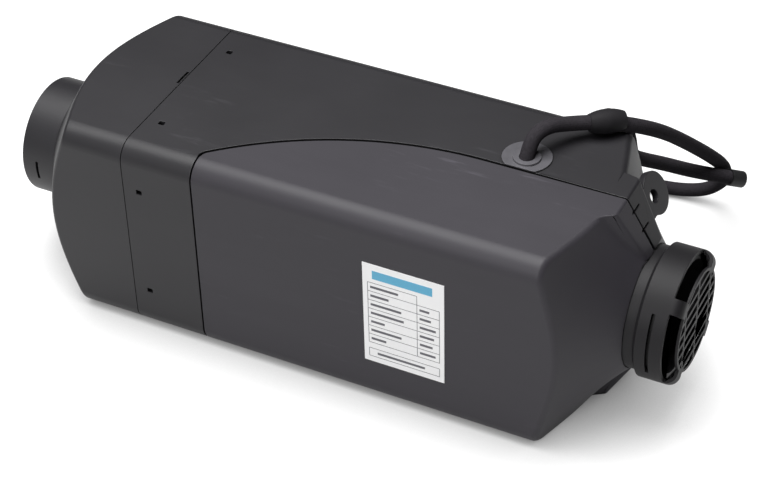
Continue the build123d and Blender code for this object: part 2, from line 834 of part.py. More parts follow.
def heat_exchanger():
    bore = exchanger_radius - exchanger_wall
    body = disc(exchanger_x, flange_x, exchanger_radius)
    body += exchanger_fins()
    body += disc(flange_x - exchanger_flange, flange_x, exchanger_flange_radius)
    half_neck = neck_size[0] / 2
    body += brick(neck_centre_x - half_neck, neck_centre_x + half_neck, 0, foot_shoulder_y + 1,
                  axis_z - neck_size[1] / 2, axis_z + neck_size[1] / 2)
    body += foot_room(foot_shoulder, foot_shoulder_y, back_y - housing_wall - fit_gap)
    body += foot_room(0, foot_shoulder_y, foot_y)
    x0, x1, z0, z1 = sensor_block(0)
    body += brick(x0, x1, sensor_pad_y, -bore, z0, z1)
    body += bar_y(glow_x, axis_z, glow_boss_y, -bore, glow_boss_radius)
    body -= disc(exchanger_x + exchanger_wall, flange_x + 1, bore)
    body -= disc(flange_x - burner_seat_depth, flange_x + 1, burner_seat_radius)
    # clear the fins round the glow plug's head and the sensor with its clip
    body -= bar_y(glow_x, axis_z, -fin_radius - spare, glow_boss_y, glow_head[0] + 2.0)
    x0, x1, z0, z1 = sensor_block(sensor_pocket)
    body -= brick(x0, x1, -fin_radius - spare, sensor_pad_y, z0, z1)
    leg_room = clip_thickness + 2 * fit_gap
    for side in (-1, 1):
        middle = sensor_x + side * (sensor_pad[0] / 2 + leg_room / 2)
        body -= brick(middle - leg_room / 2, middle + leg_room / 2, -fin_radius - spare,
                      sensor_pad_y + clip_leg, axis_z - clip_width, axis_z + clip_width)
    # bores for the exhaust, the combustion air, the fuel pipe, the glow plug and the studs
    body -= bar_y(exhaust_x, axis_z, 0, foot_y + 1, exhaust_bore)
    body -= bar_y(exhaust_x, axis_z, foot_y - stub_seat, foot_y + 1,
                  exhaust_radius + stub_root_step + snug_gap)
    body -= bar_y(air_x, axis_z, foot_shoulder_y - 1, foot_y + 1, air_bore)
    body -= bar_y(air_x, axis_z, foot_y - stub_seat, foot_y + 1,
                  air_radius + stub_root_step + snug_gap)
    body -= bar_y(fuel_x, axis_z + fuel_offset_z, 0, foot_y + 1, fuel_tube_radius + fit_gap)
    body -= bar_y(glow_x, axis_z, glow_boss_y - 1, 0, glow_body_radius + fit_gap / 2)
    for x, z in stud_places:
        body -= bar_y(x, z, foot_y - stud_depth, foot_y + 1, stud_root_radius + snug_gap)
    for i in range(4):
        body -= pin_x(flange_x - blower_screw_bite - 1, flange_x + 1,
                      blower_screw_radius + screw_gap,
                      blower_screw_circle, blower_screw_turn + 90 * i)
        body -= pin_x(flange_x - burner_screw_grip - 0.5, flange_x + 1,
                      burner_screw_radius + screw_gap,
                      burner_screw_circle, burner_screw_turn + 90 * i)
    return one_solid(body, "heat_exchanger")


def burner_head():
    start_x = burner_head_x
    head = disc(start_x, flange_x, burner_head_radius)
    head += disc(flange_x - burner_seat_depth, flange_x, burner_seat_radius - fit_gap)
    spigot = burner_tube_radius - burner_tube_wall - fit_gap / 3
    head += disc(start_x - burner_spigot_length, start_x, spigot)
    head -= disc(start_x - burner_spigot_length - 1, flange_x - burner_back_wall, burner_bore)
    head -= pin_x(flange_x - burner_back_wall - 1, flange_x + 1, *burner_air_port, 90)
    head -= bar_y(glow_x, axis_z, -burner_head_radius - 1, 0, glow_body_radius + fit_gap / 2)
    head -= bar_y(fuel_x, axis_z + fuel_offset_z, fuel_inner_y, burner_head_radius + spare,
                  fuel_tube_radius + fit_gap / 3)
    for i in range(4):
        head -= pin_x(flange_x - burner_seat_depth - 1, flange_x + 1,
                      burner_screw_radius + screw_gap,
                      burner_screw_circle, burner_screw_turn + 90 * i)
    return one_solid(head, "burner_head")


def burner_tube():
    start_x = burner_head_x - burner_tube_length
    tube = ring(start_x, burner_head_x - seat_gap, burner_tube_radius,
                burner_tube_radius - burner_tube_wall)
    return one_solid(tube, "burner_tube")


def burner_screws():
    screws = []
    for i in range(4):
        angle = burner_screw_turn + 90 * i
        shank = pin_x(flange_x - burner_screw_grip, flange_x, burner_screw_radius,
                      burner_screw_circle, angle)
        head = pin_x(flange_x, flange_x + burner_screw_head[1], burner_screw_head[0],
                     burner_screw_circle, angle)
        screws.append(one_solid(shank + head, "burner screw"))
    return Compound(children=screws)


def glow_plug():
    seal_y = glow_boss_y - glow_seal
    plug = bar_y(glow_x, axis_z, seal_y, glow_screen_y[0], glow_body_radius)
    seat = Plane(origin=(glow_x, seal_y - glow_head[1], axis_z), x_dir=(1, 0, 0),
                 z_dir=(0, 1, 0))
    plug += extrude(seat * RegularPolygon(glow_head[0], 6), amount=glow_head[1])
    plug += bar_y(glow_x, axis_z, glow_screen_y[0], glow_tip_y, glow_tip_radius)
    return one_solid(plug, "glow_plug")


def glow_plug_seal():
    y = glow_boss_y - glow_seal
    outer = bar_y(glow_x, axis_z, y, glow_boss_y, glow_boss_radius - 1.0)
    return one_solid(outer - bar_y(glow_x, axis_z, y - 1, glow_boss_y + 1,
                                   glow_body_radius + seat_gap), "glow_plug_seal")


def glow_plug_screen():
    y0, y1 = glow_screen_y
    outer = bar_y(glow_x, axis_z, y0 + seat_gap, y1, glow_body_radius)
    inner = bar_y(glow_x, axis_z, y0 - 1, y1 - 1, glow_body_radius - glow_screen_wall)
    return one_solid(outer - inner, "glow_plug_screen")


def overheat_sensor():
    seat_y = sensor_pad_y - seat_gap
    return one_solid(bar_y(sensor_x, axis_z, seat_y - sensor_height, seat_y, sensor_radius),
                     "overheat_sensor")


def sensor_clip():
    top = sensor_pad_y - sensor_height - 2 * seat_gap
    half = sensor_pad[0] / 2 + fit_gap
    z0, z1 = axis_z - clip_width / 2, axis_z + clip_width / 2
    clip = brick(sensor_x - half - clip_thickness, sensor_x + half + clip_thickness,
                 top - clip_thickness, top, z0, z1)
    for x0 in (sensor_x - half - clip_thickness, sensor_x + half):
        clip += brick(x0, x0 + clip_thickness, top - clip_thickness, sensor_pad_y + clip_leg - 1,
                      z0, z1)
    return one_solid(clip, "sensor_clip")


# ---------------------------------------------------------------- foot fittings
def stub(x, radius, bore):
    """Pipe stub with a thicker root, seated in the foot, and a straight hose end."""
    seat_y = foot_y - stub_seat + seat_gap
    end_y = foot_y + stub_out
    tube = bar_y(x, axis_z, seat_y, end_y, radius)
    tube += bar_y(x, axis_z, seat_y, gasket_y, radius + stub_root_step)
    return tube - bar_y(x, axis_z, seat_y - 1, end_y + 1, bore)


def flange_gasket():
    gasket = foot_room(-gasket_margin, foot_y, gasket_y)
    gasket -= bar_y(exhaust_x, axis_z, foot_y - 1, gasket_y + 1,
                    exhaust_radius + stub_root_step + fit_gap)
    gasket -= bar_y(air_x, axis_z, foot_y - 1, gasket_y + 1,
                    air_radius + stub_root_step + fit_gap)
    gasket -= bar_y(fuel_x, axis_z + fuel_offset_z, foot_y - 1, gasket_y + 1,
                    fuel_grommet_radius + fit_gap / 3)
    for x, z in stud_places:
        gasket -= bar_y(x, z, foot_y - 1, gasket_y + 1, stud_root_radius + fit_gap)
    return one_solid(gasket, "flange_gasket")


def flange_studs():
    start_y = foot_y - stud_depth + 2 * seat_gap
    studs = [bar_y(x, z, start_y, foot_y + stud_out, stud_radius)
             + bar_y(x, z, start_y, gasket_y, stud_root_radius) for x, z in stud_places]
    return Compound(children=[one_solid(s, "flange stud") for s in studs])


def fuel_pipe():
    z = axis_z + fuel_offset_z
    outer = bar_y(fuel_x, z, fuel_inner_y + 2 * seat_gap, foot_y + fuel_out, fuel_tube_radius)
    outer += bar_y(fuel_x, z, gasket_y + fuel_hose_start, foot_y + fuel_out, fuel_radius)
    return one_solid(outer - bar_y(fuel_x, z, fuel_inner_y - 1, foot_y + fuel_out + 1, fuel_bore),
                     "fuel_pipe")


def fuel_pipe_grommet():
    z = axis_z + fuel_offset_z
    sleeve = bar_y(fuel_x, z, foot_y + snug_gap, gasket_y + fuel_grommet_proud,
                   fuel_grommet_radius)
    hole = bar_y(fuel_x, z, foot_y - 1, gasket_y + 3, fuel_tube_radius + snug_gap)
    return one_solid(sleeve - hole, "fuel_pipe_grommet")


# ---------------------------------------------------------------- blower and motor
def bolt_holes(shape, x0, x1):
    for i in range(4):
        shape -= pin_x(x0, x1, blower_screw_radius + screw_gap, blower_screw_circle,
                       blower_screw_turn + 90 * i)
    return shape


def blower_gasket_ring():
    body = ring(flange_x, cover_start_x, blower_radius, blower_recess_radius)
    return one_solid(bolt_holes(body, flange_x - 1, cover_start_x + 1), "blower_gasket")


def blower_cover_plate():
    plate = disc(cover_start_x, blower_x, blower_radius)
    plate -= disc(cover_start_x - 1, cover_start_x + blower_recess, blower_recess_radius)
    plate -= pin_x(cover_start_x - 1, blower_x + 1, *blower_cover_port, 90)
    return one_solid(bolt_holes(plate, cover_start_x - 1, blower_x + 1), "blower_cover")


def blower_housing():
    body = disc(blower_x, blower_end_x, blower_radius)
    half_lug = blower_lug[1] / 2
    lug_x = (blower_x + blower_end_x) / 2
    body += brick(lug_x - blower_lug[0] / 2, lug_x + blower_lug[0] / 2, unit_y[1] + fit_gap / 3,
                  -blower_radius / 2, axis_z - half_lug, axis_z + half_lug)
    body += bar_y(air_x, axis_z, blower_radius - blower_port_root,
                  foot_shoulder_y - blower_port_gap,
                  blower_port_radius)
    body -= disc(blower_x - 1, blower_x + blower_cavity, blower_cavity_radius)
    body -= bar_y(air_x, axis_z, 0, foot_shoulder_y + 1, blower_port_bore) & disc(
        blower_x - 1, blower_end_x - blower_floor, fin_radius + foot_shoulder_y)
    body -= disc(blower_x + blower_cavity - 1, blower_end_x + 1, bush_radius + snug_gap)
    for z in unit_screw_z:
        body -= bar_y(lug_x, z, unit_y[1] - 1, unit_y[1] + unit_screw_hole,
                      unit_screw_radius + screw_gap)
    return one_solid(bolt_holes(body, blower_x - 1, blower_end_x + 1), "blower_housing")


def blower_screws():
    screws = []
    for i in range(4):
        angle = blower_screw_turn + 90 * i
        shank = pin_x(flange_x - blower_screw_bite, blower_end_x, blower_screw_radius,
                      blower_screw_circle, angle)
        head = pin_x(blower_end_x, blower_end_x + blower_screw_head[1], blower_screw_head[0],
                     blower_screw_circle, angle)
        screws.append(one_solid(shank + head, "blower screw"))
    return Compound(children=screws)


def combustion_wheel():
    back_x = wheel_x + wheel_length
    wheel = disc(back_x - wheel_disc, back_x, wheel_radius)
    wheel += disc(wheel_x, back_x, wheel_vane_inner / 3)
    span = wheel_radius - wheel_vane_inner
    vanes = Sketch() + [Rot(0, 0, i * 360 / wheel_vanes) * Pos(wheel_vane_inner + span / 2, 0)
                        * Rectangle(span - wheel_vane_inset, wheel_vane)
                        for i in range(wheel_vanes)]
    wheel += extrude(across(wheel_x) * vanes, amount=wheel_length - wheel_disc + 0.5)
    wheel -= disc(wheel_x - 1, back_x + 1, shaft_radius + hub_gap)
    return one_solid(wheel, "combustion_wheel")


def motor_can():
    boss_x = motor_end_x - motor_wall - bush_length
    can = disc(blower_end_x + snug_gap, motor_end_x, motor_radius)
    can += disc(blower_end_x + snug_gap, blower_end_x + motor_flange, motor_flange_radius)
    can -= disc(blower_end_x - 1, boss_x, motor_radius - motor_wall)
    boss_room = ring(boss_x - 1, motor_end_x - motor_wall, motor_radius - motor_wall,
                     bush_radius + motor_wall + fit_gap)
    can -= boss_room
    can -= disc(boss_x - 1, motor_end_x - motor_wall, bush_radius + snug_gap)
    can -= disc(boss_x - 1, motor_end_x + 1, shaft_radius + can_hole_gap)
    return one_solid(can, "motor_can")


def motor_bushes():
    left_x0 = blower_end_x - bush_length
    right_x0 = motor_end_x - motor_wall - bush_length
    bushes = [ring(x0, x0 + bush_length - snug_gap, bush_radius, shaft_radius + shaft_gap)
              for x0 in (left_x0, right_x0)]
    return Compound(children=[one_solid(b, "motor bush") for b in bushes])


def stator_magnets():
    start_x = blower_end_x + (motor_length - magnet_length) / 2
    outer, inner = magnet_radius
    profile = Polyline(at_radius(start_x, inner), at_radius(start_x, outer),
                       at_radius(start_x + magnet_length, outer),
                       at_radius(start_x + magnet_length, inner), close=True)
    magnet = revolve(make_face(profile), spin_axis, magnet_span)
    turns = (-magnet_span / 2, 180 - magnet_span / 2)
    return Compound(children=[one_solid(magnet.rotate(spin_axis, a), "magnet") for a in turns])


def armature():
    start_x = blower_end_x + (motor_length - armature_length) / 2
    core = disc(start_x, start_x + armature_length, armature_radius)
    core += disc(start_x - commutator[1], start_x, commutator[0])
    for i in range(armature_slots):
        depth, mouth, root = armature_slot
        slot = Rot(0, 0, i * 360 / armature_slots) * Pos(armature_radius - 2, 0) * (
            Rectangle(depth, mouth) + Pos(-depth / 2, 0) * Circle(root))
        core -= extrude(across(start_x - 1) * slot, amount=armature_length + 2)
    core -= disc(start_x - commutator[1] - 1, start_x + armature_length + 1,
                 shaft_radius + hub_gap)
    return one_solid(core, "armature")


def rotor_shaft():
    shaft = disc(wheel_x - shaft_head, fan_end_x + shaft_tail, shaft_radius)
    return one_solid(shaft, "rotor_shaft")


def fan_wheel():
    nose_x = fan_end_x - fan_nose[0]
    hub = disc(fan_x, nose_x, fan_hub_radius)
    nose = Polyline(at_radius(nose_x, 0), at_radius(nose_x, fan_hub_radius),
                    at_radius(fan_end_x - fan_nose[1], fan_nose_radius[0]),
                    at_radius(fan_end_x, fan_nose_radius[1]), at_radius(fan_end_x, 0),
                    close=True)
    wheel = hub + turned(nose)
    span = fan_radius - fan_hub_radius + fan_blade_root
    chord = 2 * fan_length
    for i in range(fan_blades):
        place = (Pos((fan_x + fan_end_x) / 2, axis_y, axis_z) * Rot(i * 360 / fan_blades, 0, 0)
                 * Pos(0, fan_radius + 3 - span / 2, 0) * Rot(0, fan_pitch, 0))
        wheel += place * Box(chord, span, fan_blade) & disc(fan_x + 1, fan_end_x - 3, fan_radius)
    wheel -= disc(fan_x - 1, fan_end_x + 1, shaft_radius + hub_gap)
    wheel -= ring(fan_x - 1, fan_x + fan_length / 2, fan_hub_radius - fan_hub_wall,
                  bush_radius + fan_hub_wall)
    return one_solid(wheel, "fan_wheel")


# ---------------------------------------------------------------- control unit
def control_unit_case():
    x0, x1 = unit_x
    z0, z1 = unit_z
    inner_y = unit_y[1] - unit_lid
    case = brick(x0, x1, unit_y[0], inner_y, z0, z1)
    case -= brick(x0 + unit_wall, x1 - unit_wall, unit_y[0] + unit_wall, inner_y + 1,
                  z0 + unit_wall, z1 - unit_wall)
    lug_x = (blower_x + blower_end_x) / 2
    for z in unit_screw_z:
        case += bar_y(lug_x, z, unit_y[0], inner_y, 2 * unit_screw_radius + unit_boss_extra)
        case -= bar_y(lug_x, z, unit_y[0] - 1, inner_y + 1, unit_screw_radius + unit_hole_gap)
    return one_solid(case, "control_unit_case")


def control_unit_cover():
    x0, x1 = unit_x
    z0, z1 = unit_z
    lid = brick(x0, x1, unit_y[1] - unit_lid, unit_y[1], z0, z1)
    half_x, half_z = unit_socket[0] / 2, unit_socket[1] / 2
    x = lead_start[0]
    lid += brick(x - half_x, x + half_x, unit_y[1] - unit_lid, unit_y[1] + unit_socket[2],
                 unit_socket_z - half_z, unit_socket_z + half_z)
    lug_x = (blower_x + blower_end_x) / 2
    for z in unit_screw_z:
        lid -= bar_y(lug_x, z, unit_y[1] - 3, unit_y[1] + 1, unit_screw_radius + unit_hole_gap)
    return one_solid(lid, "control_unit_cover")


def control_unit_board():
    x0, x1 = unit_x
    z0, z1 = unit_z
    edge = unit_wall + fit_gap
    y0 = unit_y[0] + unit_wall + unit_standoff
    board = brick(x0 + edge, x1 - edge, y0, y0 + unit_board, z0 + edge, z1 - edge)
    lug_x = (blower_x + blower_end_x) / 2
    for z in unit_screw_z:
        board -= bar_y(lug_x, z, y0 - 1, y0 + unit_board + 1,
                       2 * unit_screw_radius + unit_board_gap)
    return one_solid(board, "control_unit_board")


def control_unit_screws():
    lug_x = (blower_x + blower_end_x) / 2
    screws = []
    for z in unit_screw_z:
        shank = bar_y(lug_x, z, unit_y[0], unit_y[1] + unit_screw_bite, unit_screw_radius)
        head = bar_y(lug_x, z, unit_y[0] - unit_screw_head[1], unit_y[0], unit_screw_head[0])
        screws.append(one_solid(shank + head, "control unit screw"))
    return Compound(children=screws)


# ---------------------------------------------------------------- wiring
def corner_radii(route):
    """Arc radius at each inner point: as large as the two runs beside it allow."""
    points = [Vector(*p) for p in route]
    runs = [b - a for a, b in zip(points, points[1:])]
    radii = []
    for before, after in zip(runs, runs[1:]):
        turn = radians(before.get_angle(after))
        radii.append(corner_share * min(before.length, after.length) / tan(turn / 2))
    return radii


def lead_path(route):
    return FilletPolyline(*route, radius=corner_radii(route))


def sweep_lead(route, radius):
    start = Vector(*route[0])
    along = Vector(*route[1]) - start
    section = Plane(origin=start, z_dir=along) * Circle(radius)
    return sweep(section, path=lead_path(route))


def lead(route, name):
    tube = one_solid(sweep_lead(route, lead_radius), name)
    length = lead_path(route).length
    plain = pi * lead_radius ** 2 * length
    radii = ", ".join(f"{r:.0f}" for r in corner_radii(route))
    print(f"{name}: length {length:.0f} mm, volume / (section x length) {tube.volume / plain:.4f}")
    print(f"{name}: arc radii {radii}")
    return tube


def harness_splitter():
    """Moulded barrel round the main lead with a short branch for the supply lead."""
    centre = Vector(*splitter_centre)
    along = Vector(*splitter_direction).normalized()
    half = splitter_length / 2
    start = centre - along * half
    seat = Plane(origin=start, z_dir=along)
    profile = make_face([
        Line((0, 0), (splitter_end_radius, 0)),
        ThreePointArc((splitter_end_radius, 0), (splitter_radius, half),
                      (splitter_end_radius, splitter_length)),
        Line((splitter_end_radius, splitter_length), (0, splitter_length)),
        Line((0, splitter_length), (0, 0)),
    ])
    barrel = revolve(Plane.XZ * profile, Axis.Z, 360)
    first = Vector(*supply_route[0])
    second = Vector(*supply_route[1])
    way = (second - first).normalized()
    root = Vector(*branch_start)
    tip = first + way * branch_grip
    branch = extrude(Plane(origin=root, z_dir=tip - root) * Circle(splitter_branch_radius),
                     amount=(tip - root).length)
    body = seat * barrel + branch
    leads = [sweep_lead(route, lead_radius + lead_grip_gap)
             for route in (main_route, supply_route)]
    return one_solid(body - leads, "harness_splitter")


def end_plane(route, back):
    """Plane at a route's far end, square to its last run and moved back along it."""
    last = Vector(*route[-1])
    along = (last - Vector(*route[-2])).normalized()
    side = along.cross(Vector(0, 0, 1))
    return Plane(origin=last - along * back, x_dir=side, z_dir=along)


def main_connector():
    width, height, length = connector_size
    seat = end_plane(main_route, 0)
    body = extrude(seat * RectangleRounded(width, height, connector_corner), amount=length)
    room = RectangleRounded(width - 2 * connector_wall, height - 2 * connector_wall,
                            connector_corner)
    lip = Pos(0, 0, length - connector_mouth) * extrude(room, amount=connector_mouth + 1)
    return one_solid(body - seat * lip, "main_connector")


def supply_plug():
    seat = end_plane(supply_route, plug_grip)
    body = extrude(seat * Circle(plug_radius), amount=plug_length + plug_grip)
    hole = extrude(seat * Circle(lead_radius + lead_grip_gap), amount=plug_grip)
    return one_solid(body - hole, "supply_plug")


def main():
    pieces = {
        "lower_shell": lower_shell(),
        "upper_shell": upper_shell(),
        "outlet_hood": outlet_hood(),
        "inlet_nozzle": inlet_nozzle(),
        "inlet_guard": inlet_guard(),
        "cable_grommet": cable_grommet(),
        "blank_grommet": blank_grommet(),
        "type_label": type_label(),
        "heat_exchanger": heat_exchanger(),
        "burner_head": burner_head(),
        "burner_tube": burner_tube(),
        "burner_screws": burner_screws(),
        "glow_plug": glow_plug(),
        "glow_plug_seal": glow_plug_seal(),
        "glow_plug_screen": glow_plug_screen(),
        "overheat_sensor": overheat_sensor(),
        "sensor_clip": sensor_clip(),
        "exhaust_stub": one_solid(stub(exhaust_x, exhaust_radius, exhaust_bore), "exhaust_stub"),
        "combustion_air_stub": one_solid(stub(air_x, air_radius, air_bore),
                                         "combustion_air_stub"),
        "flange_gasket": flange_gasket(),
        "flange_studs": flange_studs(),
        "fuel_pipe": fuel_pipe(),
        "fuel_pipe_grommet": fuel_pipe_grommet(),
        "blower_gasket": blower_gasket_ring(),
        "blower_cover": blower_cover_plate(),
        "blower_housing": blower_housing(),
        "blower_screws": blower_screws(),
        "combustion_wheel": combustion_wheel(),
        "motor_can": motor_can(),
        "motor_bushes": motor_bushes(),
        "stator_magnets": stator_magnets(),
        "armature": armature(),
        "rotor_shaft": rotor_shaft(),
        "fan_wheel": fan_wheel(),
        "control_unit_case": control_unit_case(),
        "control_unit_cover": control_unit_cover(),
        "control_unit_board": control_unit_board(),
        "control_unit_screws": control_unit_screws(),
        "main_lead": lead(main_route, "main_lead"),
        "supply_lead": lead(supply_route, "supply_lead"),
        "harness_splitter": harness_splitter(),
        "main_connector": main_connector(),
        "supply_plug": supply_plug(),
    }
    for name, shape in pieces.items():
        write(shape, name)
    print(f"{len(pieces)} nodes")


main()
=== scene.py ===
import logging
import math
from dataclasses import dataclass, field
from enum import Enum
from typing import Optional, Sequence

import bmesh
import bpy
from mathutils import Matrix, Vector
from mathutils.bvhtree import BVHTree


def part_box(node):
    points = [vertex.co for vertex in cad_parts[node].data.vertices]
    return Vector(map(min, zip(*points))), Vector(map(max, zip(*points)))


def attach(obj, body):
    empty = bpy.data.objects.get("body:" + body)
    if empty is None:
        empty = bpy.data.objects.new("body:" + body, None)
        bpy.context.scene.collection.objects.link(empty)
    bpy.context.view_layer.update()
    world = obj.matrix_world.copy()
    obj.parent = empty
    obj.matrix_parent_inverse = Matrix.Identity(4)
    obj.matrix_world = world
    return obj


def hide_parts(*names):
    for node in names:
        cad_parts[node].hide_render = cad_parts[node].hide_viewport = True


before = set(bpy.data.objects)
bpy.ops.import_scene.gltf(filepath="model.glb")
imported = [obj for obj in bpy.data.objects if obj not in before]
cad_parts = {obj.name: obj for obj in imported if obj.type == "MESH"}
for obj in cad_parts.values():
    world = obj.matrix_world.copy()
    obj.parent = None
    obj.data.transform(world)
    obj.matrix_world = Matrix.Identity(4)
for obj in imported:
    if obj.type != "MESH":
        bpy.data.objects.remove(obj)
log = logging.getLogger("heater")

# Diesel air heater lying on its side. Metres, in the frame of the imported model:
# +X along the air path to the cold inlet, +Y to the mounting foot, +Z up.

Point = tuple[float, float, float]
Colour = tuple[float, float, float]


class Body(Enum):
    """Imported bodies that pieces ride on."""

    HEATER = "heater"
    ROTOR = "rotor"
    COVER = "cover"
    GUARD = "guard"
    HOOD = "hood"


def linear(red: int, green: int, blue: int) -> Colour:
    """Turn an 8-bit display colour into the linear colour that a shader takes."""
    return tuple(_linear_share(v / 255.0) for v in (red, green, blue))


def _linear_share(share: float) -> float:
    """Undo the display curve for one channel from 0 to 1."""
    return share / 12.92 if share <= 0.04045 else ((share + 0.055) / 1.055) ** 2.4


# ---------------------------------------------------------------- node writing
OCCLUSION_SAMPLES = 12
OPEN_LOW, OPEN_HIGH = 0.5, 0.96

Socket = bpy.types.NodeSocket


class NodeBoard:
    """Adds nodes to one node tree, sets what goes into them, and joins them."""

    def __init__(self, tree: bpy.types.NodeTree) -> None:
        """Work on a tree."""
        self.tree = tree

    def add(self, kind: str, inputs: Optional[dict] = None, **settings: object
            ) -> bpy.types.Node:
        """Add a node, set its properties and feed its inputs.

        Args:
            kind: The node's type.
            inputs: What each input gets, by its name or number.
            settings: The node's properties.

        Returns:
            The node.
        """
        node = self.tree.nodes.new(kind)
        for key, value in settings.items():
            setattr(node, key, value)
        for key, value in (inputs or {}).items():
            self.feed(value, node.inputs[key])
        return node

    def feed(self, value: object, target: Socket) -> None:
        """Join a socket to an input, or set a plain value on the input.

        Args:
            value: An output socket or a plain value.
            target: The input.
        """
        if isinstance(value, Socket):
            self.tree.links.new(value, target)
        else:
            target.default_value = value

    def math(self, operation: str, first: object, second: object = 0.0) -> Socket:
        """A Math node on sockets or plain numbers."""
        ends = {0: first, 1: second}
        return self.add("ShaderNodeMath", ends, operation=operation).outputs["Value"]


class ShaderBoard(NodeBoard):
    """Writes the shader nodes of one material on its piece's own Object coordinates."""

    def __init__(self, name: str) -> None:
        """Start a material with a plain shader.

        Args:
            name: The material's name.
        """
        self.material = bpy.data.materials.new(name)
        self.material.use_nodes = True
        super().__init__(self.material.node_tree)
        self.shader = self.tree.nodes["Principled BSDF"]
        self.coordinates = self.add("ShaderNodeTexCoord").outputs["Object"]

    def stretched(self, scale: Point, turn: Point = (0.0, 0.0, 0.0),
                  place: Optional[Socket] = None) -> Socket:
        """Coordinates, Object ones by default, scaled and turned for a directional pattern."""
        inputs = {"Scale": scale, "Rotation": turn, "Vector": place or self.coordinates}
        return self.add("ShaderNodeMapping", inputs).outputs["Vector"]

    def noise(self, scale: float, detail: float = 2.0, rough: float = 0.5,
              vector: Optional[Socket] = None) -> Socket:
        """Noise from 0 to 1.

        Args:
            scale: Repeats per metre.
            detail: Octaves.
            rough: Share that each finer octave keeps.
            vector: Coordinates, or None for the plain Object ones.

        Returns:
            The noise's value socket.
        """
        inputs = {"Scale": scale, "Detail": detail, "Roughness": rough,
                  "Vector": vector or self.coordinates}
        return self.add("ShaderNodeTexNoise", inputs).outputs["Fac"]

    def cells(self, scale: float) -> Socket:
        """Distance to the nearest point of a cell pattern, scale cells per metre."""
        inputs = {"Scale": scale, "Vector": self.coordinates}
        return self.add("ShaderNodeTexVoronoi", inputs).outputs["Distance"]

    def waves(self, scale: float, direction: str, bend: float = 0.0,
              vector: Optional[Socket] = None) -> Socket:
        """Bands along a direction X, Y, Z or DIAGONAL, with some distortion."""
        inputs = {"Scale": scale, "Distortion": bend, "Vector": vector or self.coordinates}
        return self.add("ShaderNodeTexWave", inputs, bands_direction=direction).outputs["Fac"]

    def ramp(self, value: Socket, low: float, high: float) -> Socket:
        """Share from 0 at low to 1 at high."""
        inputs = {"From Min": low, "From Max": high, "Value": value}
        return self.add("ShaderNodeMapRange", inputs).outputs["Result"]

    def mix(self, share: Socket, low: object, high: object) -> Socket:
        """Mix two colours, each a socket or a Colour, by a share."""
        ends = [c if isinstance(c, Socket) else (*c, 1.0) for c in (low, high)]
        return self.add("ShaderNodeMix", {"Factor": share, 6: ends[0], 7: ends[1]},
                        data_type="RGBA").outputs[2]

    def colour(self, source: Socket) -> None:
        """Drive the base colour."""
        self.feed(source, self.shader.inputs["Base Color"])

    def roughness(self, value: Socket, low: float, high: float) -> None:
        """Drive the roughness from low to high by a 0 to 1 value."""
        node = self.add("ShaderNodeMapRange", {"To Min": low, "To Max": high, "Value": value})
        self.feed(node.outputs["Result"], self.shader.inputs["Roughness"])

    def bump(self, *layers: tuple[Socket, float]) -> None:
        """Chain bump layers.

        Args:
            layers: Each one's height from 0 to 1 and its depth in metres.
        """
        before = None
        for height, depth in layers:
            node = self.add("ShaderNodeBump", {"Strength": 1.0, "Distance": depth,
                                               "Height": height})
            if before is not None:
                self.feed(before, node.inputs["Normal"])
            before = node.outputs["Normal"]
        self.feed(before, self.shader.inputs["Normal"])

    def openness(self, reach: float) -> Socket:
        """Share from 0 in a narrow gap to 1 on an open face, seen over reach metres."""
        return self.ramp(self.occlusion(reach), OPEN_LOW, OPEN_HIGH)

    def occlusion(self, reach: float) -> Socket:
        """Share of the sky that a face sees over reach metres."""
        return self.add("ShaderNodeAmbientOcclusion", {"Distance": reach},
                        samples=OCCLUSION_SAMPLES).outputs["AO"]

    def fixed(self, socket: str, value: object) -> None:
        """Set a shader socket that is the same all over, such as Metallic."""
        self.shader.inputs[socket].default_value = value


@dataclass(frozen=True)
class Finish:
    """Base of every finish: a named surface that is written once and then shared."""

    name: str
    colour: Colour
    roughness: float
    slot: str

    def material(self) -> bpy.types.Material:
        """Write the finish's material on first use.

        Returns:
            The material.
        """
        name = f"{self.name}_finish"
        found = bpy.data.materials.get(name)
        if found is None:
            board = ShaderBoard(name)
            self.write(board)
            found = board.material
        return found

    def write(self, board: ShaderBoard) -> None:
        """Write the shader nodes of this finish."""
        raise NotImplementedError

    def shade(self, factor: float) -> Colour:
        """The base colour made lighter or darker by a factor."""
        return tuple(min(1.0, c * factor) for c in self.colour)


